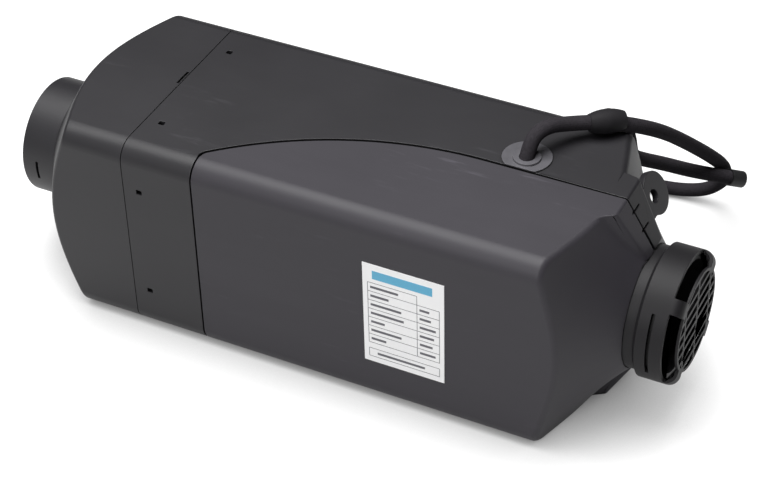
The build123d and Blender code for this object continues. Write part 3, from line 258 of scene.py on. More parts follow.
@dataclass(frozen=True)
class MouldedPlastic(Finish):
    """Moulded plastic with a fine spark-eroded grain, soft blotches, light scuffs and painted
    shade in its gaps and seams.
    """

    grain: float = 1300.0
    depth: float = 0.00003
    scuffs: float = 0.5
    gloss: float = 0.5
    # Painted shade in gaps and seams: how far the occlusion looks, and the share of the base
    # colour that it darkens to.
    painted_shade_reach: float = 0.002
    painted_gap_shade: float = 0.1
    scuff_shade: float = 2.3

    def write(self, board: ShaderBoard) -> None:
        """Write the plastic's nodes.

        Args:
            board: The material's board.
        """
        blotch = board.noise(9.0, 4.0, 0.55)
        flow = board.noise(1.0, 3.0, 0.6, board.stretched((5.0, 40.0, 40.0), (0.1, 0.2, 0.3)))
        base = board.mix(board.ramp(blotch, 0.3, 0.7), self.shade(0.9), self.shade(1.1))
        base = board.mix(board.math("MULTIPLY", board.ramp(flow, 0.45, 0.75), 0.5), base,
                         self.shade(1.18))
        fine = board.noise(1.0, 5.0, 0.7, board.stretched((30.0, 260.0, 260.0), (0.2, 0.5, 0.4)))
        patch = board.ramp(board.noise(22.0, 2.0), 0.5, 0.68)
        scratch = board.math("MULTIPLY", board.ramp(fine, 0.58, 0.72), patch)
        scratch = board.math("MULTIPLY", scratch, self.scuffs)
        # Painted shade: where the occlusion finds a narrow gap or seam, the colour goes dark
        # towards a small share of the base colour.
        painted_shade_mask = board.openness(self.painted_shade_reach)
        base = board.mix(scratch, base, self.shade(self.scuff_shade))
        board.colour(board.mix(painted_shade_mask, self.shade(self.painted_gap_shade), base))
        board.roughness(board.math("ADD", blotch, scratch), self.roughness - 0.06,
                        self.roughness + 0.1)
        board.bump((board.noise(self.grain, 2.0, 0.6), self.depth),
                   (board.noise(45.0, 2.0), 0.00012))
        board.fixed("Specular IOR Level", self.gloss)


@dataclass(frozen=True)
class SoftRubber(Finish):
    """Matt rubber with a dusty bloom and a faint pebble."""

    pebble: float = 900.0
    gloss: float = 0.1

    def write(self, board: ShaderBoard) -> None:
        """Write the rubber's nodes.

        Args:
            board: The material's board.
        """
        bloom = board.noise(60.0, 5.0, 0.6)
        base = board.mix(board.ramp(bloom, 0.35, 0.7), self.shade(0.85), self.shade(1.35))
        board.colour(base)
        board.roughness(bloom, self.roughness - 0.08, self.roughness + 0.1)
        board.bump((board.cells(self.pebble), 0.00003), (board.noise(150.0), 0.00005))
        board.fixed("Specular IOR Level", self.gloss)


@dataclass(frozen=True)
class CastMetal(Finish):
    """Die-cast metal with flow marks, fine pits and a dull skin."""

    pits: float = 700.0

    def write(self, board: ShaderBoard) -> None:
        """Write the casting's nodes.

        Args:
            board: The material's board.
        """
        flow = board.noise(25.0, 5.0, 0.6)
        pits = board.cells(self.pits)
        base = board.mix(board.ramp(flow, 0.3, 0.7), self.shade(0.78), self.shade(1.12))
        stain = board.ramp(board.noise(11.0, 3.0), 0.55, 0.8)
        board.colour(board.mix(board.math("MULTIPLY", stain, 0.4), base, self.shade(0.55)))
        board.roughness(flow, self.roughness - 0.1, self.roughness + 0.12)
        board.bump((board.ramp(pits, 0.0, 0.5), 0.00004), (flow, 0.00012))
        board.fixed("Metallic", 1.0)


@dataclass(frozen=True)
class DrawnSteel(Finish):
    """Rolled, drawn or turned steel with fine lines along one axis."""

    lines: Point = (60.0, 60.0, 3000.0)
    heat: float = 0.0
    heat_tint: Colour = (0.16, 0.09, 0.05)

    def write(self, board: ShaderBoard) -> None:
        """Write the steel's nodes.

        Args:
            board: The material's board.
        """
        brushed = board.noise(1.0, 4.0, 0.7, board.stretched(self.lines))
        cloud = board.noise(35.0, 4.0)
        base = board.mix(board.ramp(brushed, 0.3, 0.7), self.shade(0.85), self.shade(1.08))
        tint = board.math("MULTIPLY", board.ramp(cloud, 0.4, 0.75), self.heat)
        board.colour(board.mix(tint, base, self.heat_tint))
        board.roughness(brushed, self.roughness - 0.08, self.roughness + 0.14)
        board.bump((brushed, 0.000015), (cloud, 0.00004))
        board.fixed("Metallic", 1.0)


@dataclass(frozen=True)
class PressedFibre(Finish):
    """Pressed gasket sheet with flecks of fibre."""

    def write(self, board: ShaderBoard) -> None:
        """Write the sheet's nodes.

        Args:
            board: The material's board.
        """
        fleck = board.noise(1.0, 5.0, 0.75, board.stretched((260.0, 900.0, 900.0)))
        base = board.mix(board.ramp(fleck, 0.35, 0.7), self.shade(0.8), self.shade(1.3))
        board.colour(base)
        board.roughness(fleck, self.roughness - 0.08, self.roughness + 0.05)
        board.bump((fleck, 0.00006), (board.cells(500.0), 0.00003))


@dataclass(frozen=True)
class BraidedSleeve(Finish):
    """Close textile braid over a lead: crossed threads on the lead's own UV map."""

    turns: float = 14.0
    pitch: float = 420.0
    gloss: float = 0.03

    def write(self, board: ShaderBoard) -> None:
        """Write the braid's nodes.

        Args:
            board: The material's board.
        """
        threads = []
        place = board.add("ShaderNodeTexCoord").outputs["UV"]
        for sign in (1.0, -1.0):
            across = board.stretched((self.pitch, self.turns * sign, 1.0), place=place)
            threads.append(board.waves(0.5, "DIAGONAL", vector=across))
        weave = board.math("MAXIMUM", threads[0], threads[1])
        fuzz = board.noise(900.0, 3.0)
        base = board.mix(weave, self.shade(0.55), self.shade(1.35))
        board.colour(board.mix(board.ramp(fuzz, 0.4, 0.8), base, self.shade(1.6)))
        board.roughness(fuzz, self.roughness - 0.05, self.roughness + 0.1)
        board.bump((weave, 0.00008), (fuzz, 0.00006))
        board.fixed("Specular IOR Level", self.gloss)


@dataclass(frozen=True)
class PaperSheet(Finish):
    """Printed or plain sticker film with a faint tooth and a soft sheen."""

    def write(self, board: ShaderBoard) -> None:
        """Write the film's nodes.

        Args:
            board: The material's board.
        """
        tooth = board.noise(2500.0, 2.0)
        tone = board.noise(40.0, 3.0)
        board.colour(board.mix(board.ramp(tone, 0.3, 0.7), self.shade(0.97), self.shade(1.02)))
        board.roughness(tone, self.roughness - 0.05, self.roughness + 0.05)
        board.bump((tooth, 0.000006), (tone, 0.00003))


@dataclass(frozen=True)
class PrintedInk(Finish):
    """Printed ink with a slightly uneven laydown."""

    def write(self, board: ShaderBoard) -> None:
        """Write the ink's nodes.

        Args:
            board: The material's board.
        """
        speck = board.noise(4000.0, 2.0)
        board.colour(board.mix(board.ramp(speck, 0.3, 0.7), self.shade(0.9), self.shade(1.15)))
        board.roughness(speck, self.roughness - 0.05, self.roughness + 0.08)
        board.bump((speck, 0.000004))


@dataclass(frozen=True)
class EnamelledWire(Finish):
    """Lacquered copper winding with a close lay of wire."""

    wires: float = 2200.0

    def write(self, board: ShaderBoard) -> None:
        """Write the winding's nodes.

        Args:
            board: The material's board.
        """
        lay = board.waves(self.wires, "Y", 1.5)
        tone = board.noise(300.0, 3.0)
        board.colour(board.mix(board.ramp(tone, 0.3, 0.7), self.shade(0.75), self.shade(1.15)))
        board.roughness(tone, self.roughness - 0.06, self.roughness + 0.1)
        board.bump((lay, 0.00006), (tone, 0.00003))
        board.fixed("Metallic", 1.0)


COVER_PLASTIC = MouldedPlastic("moulded_cover", linear(46, 44, 49), 0.53, "housing_plastic",
                               scuffs=0.7, gloss=0.34)
SHELL_PLASTIC = MouldedPlastic("moulded_shell", linear(29, 28, 31), 0.48, "housing_plastic",
                               scuffs=0.7, gloss=0.36)
HOOD_PLASTIC = MouldedPlastic("moulded_hood", linear(29, 28, 31), 0.48, "housing_plastic",
                              scuffs=0.7, gloss=0.38)
GUARD_PLASTIC = MouldedPlastic("moulded_guard", linear(25, 24, 26), 0.52, "guard_plastic",
                               scuffs=0.3, gloss=0.2)
BLACK_RUBBER = SoftRubber("black_rubber", linear(30, 29, 31), 0.62, "black_rubber")
GROMMET_RUBBER = SoftRubber("grommet_rubber", linear(70, 69, 73), 0.5, "black_rubber", gloss=0.4)
SLEEVE = BraidedSleeve("lead_sleeve", linear(41, 39, 42), 0.85, "lead_sleeve")
PLUG_PLASTIC = MouldedPlastic("moulded_plug", linear(28, 28, 29), 0.5, "plug_plastic",
                              grain=2200.0, gloss=0.3)
LABEL_FILM = PaperSheet("label_film", linear(253, 253, 254), 0.4, "label_sheet")
CAST_ALUMINIUM = CastMetal("cast_aluminium", (0.36, 0.365, 0.375), 0.55, "cast_aluminium")
BURNER_STEEL = DrawnSteel("burner_steel", (0.32, 0.3, 0.285), 0.42, "burner_steel", heat=0.7)
BRIGHT_STEEL = DrawnSteel("bright_steel", (0.4, 0.4, 0.41), 0.38, "bright_steel")
GASKET_FIBRE = PressedFibre("gasket_fibre", linear(70, 72, 74), 0.85, "gasket_fibre")
FAN_PLASTIC = MouldedPlastic("moulded_fan", linear(40, 40, 42), 0.42, "fan_plastic", grain=1800.0)
BLOWER_ALLOY = CastMetal("blower_alloy", (0.32, 0.325, 0.335), 0.56, "blower_alloy", pits=900.0)
MOTOR_STEEL = DrawnSteel("motor_steel", (0.32, 0.32, 0.33), 0.42, "motor_steel",
                         (3000.0, 60.0, 60.0))
BUSH_BRONZE = DrawnSteel("bush_bronze", (0.62, 0.42, 0.2), 0.35, "bush_bronze")
FERRITE = PressedFibre("magnet_ferrite", linear(52, 51, 52), 0.7, "magnet_ferrite")
ARMATURE_IRON = DrawnSteel("armature_iron", (0.35, 0.34, 0.34), 0.45, "armature_iron",
                           (3500.0, 40.0, 40.0))
UNIT_PLASTIC = MouldedPlastic("moulded_unit", linear(46, 46, 48), 0.5, "unit_plastic",
                              grain=1500.0)
BOARD_LAMINATE = PaperSheet("board_laminate", linear(28, 92, 58), 0.35, "circuit_board")
CHIP_PLASTIC = MouldedPlastic("moulded_chip", linear(34, 34, 36), 0.45, "unit_plastic",
                              grain=3000.0)
WIRE_COPPER = EnamelledWire("enamelled_copper", (0.62, 0.25, 0.1), 0.35, "armature_iron")
FUEL_STEEL = DrawnSteel("drawn_fuel_tube", (0.38, 0.38, 0.39), 0.38, "bright_steel",
                        (60.0, 3000.0, 60.0))
RULE_INK = PrintedInk("label_rule_ink", linear(112, 112, 116), 0.45, "label_sheet")
BAR_INK = PrintedInk("label_bar_ink", linear(86, 86, 92), 0.45, "label_sheet")
HEADER_INK = PrintedInk("label_header_ink", linear(92, 172, 206), 0.4, "label_sheet")


# ---------------------------------------------------------------- bench work
SEAM_REACH = 0.0009
SEAM_SETBACK = 0.00035
SEAM_RAY_START = 0.00001
SIDE_WALL_Y = -0.055
SIDE_WALL_TURN, UPRIGHT_TURN, FACING_TURN = 0.7, 0.1, -0.9
WELD_DISTANCE = 0.000002
FLAT_ANGLE = 0.3
SMOOTH_ANGLE = 40.0
FLAT_FACE_WEIGHT = 90


class Bench:
    """Shared handwork on meshes: welding, rounding, placing and handing over."""

    @staticmethod
    def object_from(name: str, mesh: bpy.types.Mesh) -> bpy.types.Object:
        """Put a mesh in the scene as an object at the origin.

        Args:
            name: The object's name.
            mesh: Its mesh.

        Returns:
            The object.
        """
        piece = bpy.data.objects.new(name, mesh)
        bpy.context.scene.collection.objects.link(piece)
        return piece

    @staticmethod
    def baked(piece: bpy.types.Object) -> bpy.types.Object:
        """Apply a piece's modifiers.

        Args:
            piece: The object, which is removed.

        Returns:
            The piece as a plain mesh object of the same name.
        """
        graph = bpy.context.evaluated_depsgraph_get()
        mesh = bpy.data.meshes.new_from_object(piece.evaluated_get(graph), depsgraph=graph)
        name = piece.name
        bpy.data.objects.remove(piece)
        return Bench.object_from(name, mesh)

    @staticmethod
    def welded_copy(node: str, name: str) -> bpy.types.Object:
        """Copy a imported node's mesh, weld it and join its flat triangles.

        Args:
            node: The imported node.
            name: The new object's name.

        Returns:
            The new object.
        """
        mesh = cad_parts[node].data.copy()
        mesh.materials.clear()
        stale = mesh.attributes.get("custom_normal")
        if stale is not None:
            mesh.attributes.remove(stale)
        work = bmesh.new()
        work.from_mesh(mesh)
        bmesh.ops.remove_doubles(work, verts=work.verts, dist=WELD_DISTANCE)
        bmesh.ops.dissolve_limit(work, angle_limit=math.radians(FLAT_ANGLE),
                                 verts=work.verts, edges=work.edges)
        work.to_mesh(mesh)
        work.free()
        return Bench.object_from(name, mesh)

    @staticmethod
    def open_seam(piece: bpy.types.Object, other: str) -> None:
        """Set the upright walls that face another node across the cover seam back a little.

        Args:
            piece: The object, before its edges are rounded.
            other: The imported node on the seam's far side.
        """
        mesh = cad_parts[other].data
        places = [vertex.co for vertex in mesh.vertices]
        tree = BVHTree.FromPolygons(places, [face.vertices for face in mesh.polygons])
        walls: dict[int, Vector] = {}
        for face in piece.data.polygons:
            normal = face.normal
            behind_side = face.center.y < SIDE_WALL_Y and abs(normal.y) > SIDE_WALL_TURN
            if abs(normal.z) > UPRIGHT_TURN or behind_side:
                continue
            start = face.center + normal * SEAM_RAY_START
            _, facing, _, _ = tree.ray_cast(start, normal, SEAM_REACH)
            if facing is None or facing.dot(normal) > FACING_TURN:
                continue
            for index in face.vertices:
                walls[index] = walls.get(index, Vector()) + normal
        for index, normal in walls.items():
            piece.data.vertices[index].co -= normal.normalized() * SEAM_SETBACK
        log.info("%s: %d seam points set back", piece.name, len(walls))

    @staticmethod
    def softened(piece: bpy.types.Object, width: float, angle: float = 35.0,
                 segments: int = 2) -> bpy.types.Object:
        """Round a piece's sharp edges and shade it smooth between them.

        Args:
            piece: The object.
            width: Width of the rounding in metres.
            angle: Edges sharper than this many degrees are rounded.
            segments: Faces across the rounding.

        Returns:
            The piece as a plain mesh object.
        """
        low, high = Bench.corners(piece.data)
        bevel = piece.modifiers.new("rounding", "BEVEL")
        bevel.width = width
        bevel.segments = segments
        bevel.limit_method = "ANGLE"
        bevel.angle_limit = math.radians(angle)
        bevel.use_clamp_overlap = False
        bevel.miter_outer = "MITER_ARC"
        piece = Bench.baked(piece)
        for vertex in piece.data.vertices:
            vertex.co = tuple(min(max(c, a), b) for c, a, b in zip(vertex.co, low, high))
        Bench.smooth(piece.data, SMOOTH_ANGLE)
        level = piece.modifiers.new("flat faces", "WEIGHTED_NORMAL")
        level.keep_sharp = True
        level.weight = FLAT_FACE_WEIGHT
        return Bench.baked(piece)

    @staticmethod
    def corners(mesh: bpy.types.Mesh) -> tuple[Point, Point]:
        """Measure a mesh's box.

        Args:
            mesh: The mesh.

        Returns:
            Its low and high corner.
        """
        places = [vertex.co for vertex in mesh.vertices]
        low = tuple(min(p[axis] for p in places) for axis in range(3))
        return low, tuple(max(p[axis] for p in places) for axis in range(3))

    @staticmethod
    def smooth(mesh: bpy.types.Mesh, angle: float) -> None:
        """Shade a mesh smooth, except at edges sharper than angle degrees."""
        mesh.shade_smooth()
        mesh.set_sharp_from_angle(angle=math.radians(angle))

    @staticmethod
    def hand_over(piece: bpy.types.Object, body: Body, finish: Finish,
                  replaces: Sequence[str] = ()) -> bpy.types.Object:
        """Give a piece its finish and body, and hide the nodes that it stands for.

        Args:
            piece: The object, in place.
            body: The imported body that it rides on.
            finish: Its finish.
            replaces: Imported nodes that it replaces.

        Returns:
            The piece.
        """
        piece.data.materials.clear()
        piece.data.materials.append(finish.material())
        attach(piece, body.value)
        if replaces:
            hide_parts(*replaces)
        log.info("%s rides on %s", piece.name, body.value)
        return piece


# ---------------------------------------------------------------- geometry trees
class GeometryBoard(NodeBoard):
    """Writes one Geometry Nodes tree with named inputs and bakes pieces with it."""

    def __init__(self, name: str) -> None:
        """Start a tree that takes a carrier mesh.

        Args:
            name: The tree's name.
        """
        super().__init__(bpy.data.node_groups.new(name, "GeometryNodeTree"))
        self.tree.is_modifier = True
        for title, way in (("Carrier", "INPUT"), ("Result", "OUTPUT")):
            self.tree.interface.new_socket(title, in_out=way,
                                           socket_type="NodeSocketGeometry")
        self.inputs = self.add("NodeGroupInput")
        self.identifiers: dict[str, str] = {}

    def value(self, name: str, kind: str = "NodeSocketFloat") -> Socket:
        """Add a named input.

        Args:
            name: The input's name.
            kind: Its socket's type.

        Returns:
            The input's socket inside the tree.
        """
        socket = self.tree.interface.new_socket(name, in_out="INPUT", socket_type=kind)
        self.identifiers[name] = socket.identifier
        return self.inputs.outputs[name]

    def times(self, source: Socket, factor: object) -> Socket:
        """A socket's number times a factor."""
        return self.math("MULTIPLY", source, factor)

    def circle(self, sides: int, radius: Socket) -> Socket:
        """A circle about the Z axis with a number of sides."""
        inputs = {"Resolution": sides, "Radius": radius}
        return self.add("GeometryNodeCurvePrimitiveCircle", inputs,
                        mode="RADIUS").outputs["Curve"]

    def join(self, *parts: Socket) -> Socket:
        """Join geometries into one.

        Args:
            parts: The geometries, in order.

        Returns:
            The joined geometry.
        """
        node = self.add("GeometryNodeJoinGeometry")
        for part in parts:
            self.feed(part, node.inputs["Geometry"])
        return node.outputs["Geometry"]

    def moved(self, part: Socket, height: Socket) -> Socket:
        """Move a geometry along its Z axis by a height socket."""
        inputs = {"Geometry": part,
                  "Translation": self.add("ShaderNodeCombineXYZ", {"Z": height}).outputs[0]}
        return self.add("GeometryNodeTransform", inputs).outputs["Geometry"]

    def close(self, instance: Socket, **placing: object) -> None:
        """End the tree: an instance on each point, realized and given its finish.

        Args:
            instance: The geometry that goes on each point of the carrier.
            placing: The instances' Rotation or Scale.
        """
        place = self.add("GeometryNodeInstanceOnPoints",
                         {"Points": self.inputs.outputs["Carrier"], "Instance": instance,
                          **placing})
        real = self.add("GeometryNodeRealizeInstances",
                        {"Geometry": place.outputs["Instances"]})
        paint = self.add("GeometryNodeSetMaterial",
                         {"Geometry": real.outputs["Geometry"],
                          "Material": self.value("Finish", "NodeSocketMaterial")})
        self.add("NodeGroupOutput", {"Result": paint.outputs["Geometry"]})

    def bake(self, name: str, points: Sequence[Point], finish: Finish,
             sizes: Optional[Sequence[Point]] = None, **values: float) -> bpy.types.Object:
        """Put the tree on a mesh of points and return the result as a plain mesh.

        Args:
            name: The piece's name.
            points: The carrier's points.
            finish: The finish that the tree sets.
            sizes: A size vector for each point, for trees that read one.
            values: The tree's named inputs, with _ for a space.

        Returns:
            The piece.
        """
        mesh = bpy.data.meshes.new(name)
        mesh.from_pydata([tuple(p) for p in points], [], [])
        if sizes is not None:
            layer = mesh.attributes.new("size", "FLOAT_VECTOR", "POINT")
            for entry, size in zip(layer.data, sizes):
                entry.vector = size
        piece = Bench.object_from(name, mesh)
        modifier = piece.modifiers.new("maker", "NODES")
        modifier.node_group = self.tree
        for key, number in values.items():
            modifier[self.identifiers[key.replace("_", " ")]] = number
        modifier[self.identifiers["Finish"]] = finish.material()
        return Bench.baked(piece)


class Way(Enum):
    """Turns that point an instance's Z axis along an axis of the heater."""

    ALONG_X = (0.0, math.pi / 2, 0.0)
    ALONG_Y = (-math.pi / 2, 0.0, 0.0)
    AGAINST_Y = (math.pi / 2, 0.0, 0.0)


THREAD_STEPS, THREAD_SIDES = 20, 4
HEAD_SIDES, KEY_SIDES, SHANK_SIDES = 32, 6, 24
KEY_DEPTH_SHARE = 0.4
WELD_ACROSS = 0.00001
COIL_SIDES, COIL_CORNER_STEPS, COIL_CORNER_SHARE = 10, 5, 0.3


def block_tree() -> GeometryBoard:
    """Write the tree that sets a box of its own size on each point of the carrier.

    Returns:
        The tree's board.
    """
    board = GeometryBoard("blocks")
    cube = board.add("GeometryNodeMeshCube")
    size = board.add("GeometryNodeInputNamedAttribute", {"Name": "size"},
                     data_type="FLOAT_VECTOR")
    board.close(cube.outputs["Mesh"], Scale=size.outputs["Attribute"])
    return board


def thread_tree(way: Way) -> GeometryBoard:
    """Write the tree that winds a screw thread up from each point of the carrier.

    Args:
        way: The way that the threads run.

    Returns:
        The tree's board.
    """
    board = GeometryBoard("threads")
    radius, pitch = board.value("Radius"), board.value("Pitch")
    turns, ridge = board.value("Turns"), board.value("Ridge")
    spiral = board.add("GeometryNodeCurveSpiral", {
        "Resolution": THREAD_STEPS, "Rotations": turns, "Start Radius": radius,
        "End Radius": radius, "Height": board.times(turns, pitch)})
    ridges = board.add("GeometryNodeCurveToMesh", {
        "Curve": spiral.outputs["Curve"], "Profile Curve": board.circle(THREAD_SIDES, ridge),
        "Fill Caps": True})
    board.close(ridges.outputs["Mesh"], Rotation=way.value)
    return board


def screw_tree(way: Way) -> GeometryBoard:
    """Write the tree that sets a socket-head screw on each point of the carrier.

    Args:
        way: The way that the heads face.

    Returns:
        The tree's board.
    """
    board = GeometryBoard("screws_" + way.name.lower())
    head, height = board.value("Head radius"), board.value("Head height")
    key, shank = board.value("Key radius"), board.value("Shank radius")
    length = board.value("Shank length")
    rims = board.join(board.circle(HEAD_SIDES, head), board.circle(KEY_SIDES, key))
    face = board.add("GeometryNodeFillCurve", {"Curve": rims}).outputs["Mesh"]
    raised = board.add("GeometryNodeExtrudeMesh", {
        "Mesh": face, "Offset Scale": height, "Individual": False}, mode="FACES")
    under = board.add("GeometryNodeFlipFaces", {"Mesh": face})
    weld = board.add("GeometryNodeMergeByDistance", {
        "Geometry": board.join(raised.outputs["Mesh"], under.outputs["Mesh"]),
        "Distance": WELD_ACROSS})
    bars = []
    for sides, radius, run, share in (
            (KEY_SIDES, key, board.times(height, KEY_DEPTH_SHARE), 0.5),
            (SHANK_SIDES, shank, length, -0.5)):
        bar = board.add("GeometryNodeMeshCylinder", {
            "Vertices": sides, "Radius": radius, "Depth": run}, fill_type="NGON")
        bars.append(board.moved(bar.outputs["Mesh"], board.times(run, share)))
    board.close(board.join(weld.outputs["Geometry"], *bars), Rotation=way.value)
    return board


def coil_tree() -> GeometryBoard:
    """Write the tree that lays a rounded wire loop per point, each turned on about X.

    Returns:
        The tree's board.
    """
    board = GeometryBoard("coils")
    length, width = board.value("Length"), board.value("Width")
    offset, wire = board.value("Offset"), board.value("Wire")
    step = board.value("Step")
    loop = board.add("GeometryNodeCurvePrimitiveQuadrilateral", {
        "Width": length, "Height": width}, mode="RECTANGLE")
    rounded = board.add("GeometryNodeFilletCurve", {
        "Curve": loop.outputs["Curve"], "Count": COIL_CORNER_STEPS,
        "Radius": board.times(width, COIL_CORNER_SHARE)}, mode="POLY")
    bundle = board.add("GeometryNodeCurveToMesh", {
        "Curve": rounded.outputs["Curve"], "Profile Curve": board.circle(COIL_SIDES, wire)})
    index = board.add("GeometryNodeInputIndex").outputs["Index"]
    turn = board.add("ShaderNodeCombineXYZ", {"X": board.times(index, step)})
    board.close(board.moved(bundle.outputs["Mesh"], offset), Rotation=turn.outputs["Vector"])
    return board


@dataclass(frozen=True)
class DressedNode:
    """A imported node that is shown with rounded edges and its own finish."""

    node: str
    finish: Finish
    rounding: float = 0.0003
    angle: float = 35.0
    body: Body = Body.HEATER
    across_seam: str = ""

    def dress(self) -> bpy.types.Object:
        """Build the rounded copy and let it stand for the node.

        Returns:
            The finished piece.
        """
        piece = Bench.welded_copy(self.node, self.node + "_finished")
        if self.across_seam:
            Bench.open_seam(piece, self.across_seam)
        if self.rounding > 0:
            piece = Bench.softened(piece, self.rounding, self.angle)
        else:
            Bench.smooth(piece.data, self.angle)
        return Bench.hand_over(piece, self.body, self.finish, [self.node])


@dataclass
class Assembly:
    """A sub-assembly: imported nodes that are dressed, and detail built on them."""

    nodes: tuple[DressedNode, ...] = ()
    pieces: list[bpy.types.Object] = field(default_factory=list)

    def build(self) -> None:
        """Dress the nodes, then build the detail."""
        for entry in self.nodes:
            self.pieces.append(entry.dress())
        self.detail()
        log.info("%s: %d pieces", type(self).__name__, len(self.pieces))

    def detail(self) -> None:
        """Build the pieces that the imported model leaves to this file."""


# ---------------------------------------------------------------- studio
@dataclass(frozen=True)
class SoftLamp:
    """A square soft lamp: its place, its side in metres and its power in watts."""

    name: str
    place: Point
    size: float
    power: float

    def hang(self, aim: Point) -> None:
        """Put the lamp in the scene.

        Args:
            aim: The point that it faces.
        """
        data = bpy.data.lights.new(self.name, "AREA")
        data.size = self.size
        data.energy = self.power
        lamp = bpy.data.objects.new(self.name, data)
        bpy.context.scene.collection.objects.link(lamp)
        lamp.location = self.place
        lamp.rotation_mode = "QUATERNION"
        towards = Vector(aim) - Vector(self.place)
        lamp.rotation_quaternion = towards.to_track_quat("-Z", "Y")


@dataclass
class Studio:
    """Pale floor with a painted contact shadow, soft plain light and the camera at the
    photograph's viewpoint.
    """

    eye: Point = (0.4016, -0.7668, 0.7486)
    azimuth: float = 27.06
    elevation: float = 39.05
    roll: float = -1.45
    focal_pixels: float = 2165.0
    picture_width: float = 768.0
    sensor: float = 36.0
    clip: tuple[float, float] = (0.05, 20.0)
    lamps: tuple[SoftLamp, ...] = (
        SoftLamp("ceiling_lamp", (-0.25, 0.0, 1.6), 1.2, 50.0),
        SoftLamp("key_lamp", (-0.05, -1.5, 0.95), 0.6, 13.5),
    )
    lamp_aim: Point = (0.0, 0.0, 0.05)
    world_level: float = 0.04
    floor_radius: float = 4.0
    floor_tones: tuple[float, float] = (0.27, 0.29)
    floor_glow: float = 0.86
    # How far the painted contact shadow on the floor reaches, in metres.
    painted_shadow_reach: float = 0.05

    def build(self) -> None:
        """Make the camera, the floor, the lamps and the world."""
        self.camera()
        self.floor()
        for lamp in self.lamps:
            lamp.hang(self.lamp_aim)
        self.world()

    def camera(self) -> None:
        """Place the camera from its turn, tilt and roll."""
        a, e, r = (math.radians(v) for v in (self.azimuth, self.elevation, self.roll))
        back = Vector((math.sin(a) * math.cos(e), -math.cos(a) * math.cos(e), math.sin(e)))
        right = (-back).cross(Vector((0, 0, 1))).normalized()
        up = right.cross(-back)
        turned_right = right * math.cos(r) + up * math.sin(r)
        turned_up = up * math.cos(r) - right * math.sin(r)
        data = bpy.data.cameras.new("camera")
        data.sensor_width = self.sensor
        data.lens = self.focal_pixels / self.picture_width * self.sensor
        data.clip_start, data.clip_end = self.clip
        camera = bpy.data.objects.new("camera", data)
        bpy.context.scene.collection.objects.link(camera)
        axes = Matrix((turned_right, turned_up, back)).transposed().to_4x4()
        camera.matrix_world = Matrix.Translation(Vector(self.eye)) @ axes
        bpy.context.scene.camera = camera

    def floor(self) -> None:
        """Make the round floor, which camera, glossy and transmission rays see lifted to white,
        less so near the heater as painted shadow.
        """
        work = bmesh.new()
        bmesh.ops.create_circle(work, cap_ends=True, segments=96, radius=self.floor_radius)
        mesh = bpy.data.meshes.new("floor")
        work.to_mesh(mesh)
        work.free()
        floor = Bench.object_from("floor", mesh)
        board = ShaderBoard("floor_sheet")
        mottle = board.noise(6.0, 3.0)
        board.colour(board.mix(mottle, *((tone,) * 3 for tone in self.floor_tones)))
        board.roughness(mottle, 0.7, 0.8)
        board.bump((board.noise(300.0), 0.00002))
        path = board.add("ShaderNodeLightPath").outputs
        seen = board.math("ADD", path["Is Camera Ray"], path["Is Glossy Ray"])
        seen = board.math("ADD", seen, path["Is Transmission Ray"])
        # Painted shadow: the lift to white is scaled by an occlusion share, so the floor darkens
        # next to the heater.
        painted_shadow_lift = board.math("MULTIPLY", seen, board.occlusion(self.painted_shadow_reach))
        painted_shadow_lift = board.math("MULTIPLY", painted_shadow_lift, self.floor_glow)
        glow = board.add("ShaderNodeEmission", {"Strength": painted_shadow_lift})
        both = board.add("ShaderNodeAddShader", {0: board.shader.outputs[0],
                                                 1: glow.outputs[0]})
        output = next(n for n in board.tree.nodes if n.type == "OUTPUT_MATERIAL")
        board.feed(both.outputs[0], output.inputs["Surface"])
        mesh.materials.append(board.material)

    def world(self) -> None:
        """Light the scene evenly, and show white to camera and transmission rays."""
        world = bpy.data.worlds.new("surroundings")
        bpy.context.scene.world = world
        world.use_nodes = True
        board = NodeBoard(world.node_tree)
        background = board.tree.nodes["Background"]
        board.feed((1.0, 1.0, 1.0, 1.0), background.inputs["Color"])
        path = board.add("ShaderNodeLightPath").outputs
        seen = board.math("MAXIMUM", path["Is Camera Ray"], path["Is Transmission Ray"])
        level = board.add("ShaderNodeMapRange", {"To Min": self.world_level, "To Max": 1.0,
                                                 "Value": seen})
        board.feed(level.outputs["Result"], background.inputs["Strength"])
        bpy.context.scene.view_settings.view_transform = "Standard"


# ---------------------------------------------------------------- wiring
MAIN_ROUTE: tuple[Point, ...] = (
    (0.0840, -0.0430, 0.0840), (0.0840, -0.0360, 0.0840), (0.0836, -0.0270, 0.0862),
    (0.0830, -0.0155, 0.0903), (0.0825, -0.0045, 0.0960), (0.0821, 0.0045, 0.1030),
    (0.0820, 0.0115, 0.1110), (0.0820, 0.0145, 0.1190), (0.0832, 0.0195, 0.1262),
    (0.0870, 0.0275, 0.1274), (0.0925, 0.0365, 0.1244), (0.1003, 0.0435, 0.1229),
    (0.1088, 0.0498, 0.1219), (0.1172, 0.0586, 0.1170), (0.1244, 0.0710, 0.1085),
    (0.1278, 0.0870, 0.0959), (0.1302, 0.1040, 0.0812), (0.1332, 0.1205, 0.0662),
    (0.1377, 0.1365, 0.0507), (0.1419, 0.1500, 0.0360), (0.1408, 0.1582, 0.0212),
    (0.1314, 0.1600, 0.0097), (0.1172, 0.1604, 0.0042), (0.1020, 0.1578, 0.0042),
    (0.0850, 0.1560, 0.0042), (0.0685, 0.1515, 0.0046), (0.0535, 0.1460, 0.0066),
    (0.0380, 0.1420, 0.0066),
)
SUPPLY_ROUTE: tuple[Point, ...] = (
    (0.1052, 0.0569, 0.1191), (0.1072, 0.0606, 0.1166), (0.1098, 0.0654, 0.1122),
    (0.1116, 0.0706, 0.1050), (0.1119, 0.0762, 0.0954), (0.1112, 0.0810, 0.0854),
    (0.1104, 0.0875, 0.0756), (0.1132, 0.0975, 0.0674), (0.1198, 0.1110, 0.0576),
    (0.1296, 0.1245, 0.0471), (0.1400, 0.1356, 0.0396), (0.1490, 0.1433, 0.0349),
)


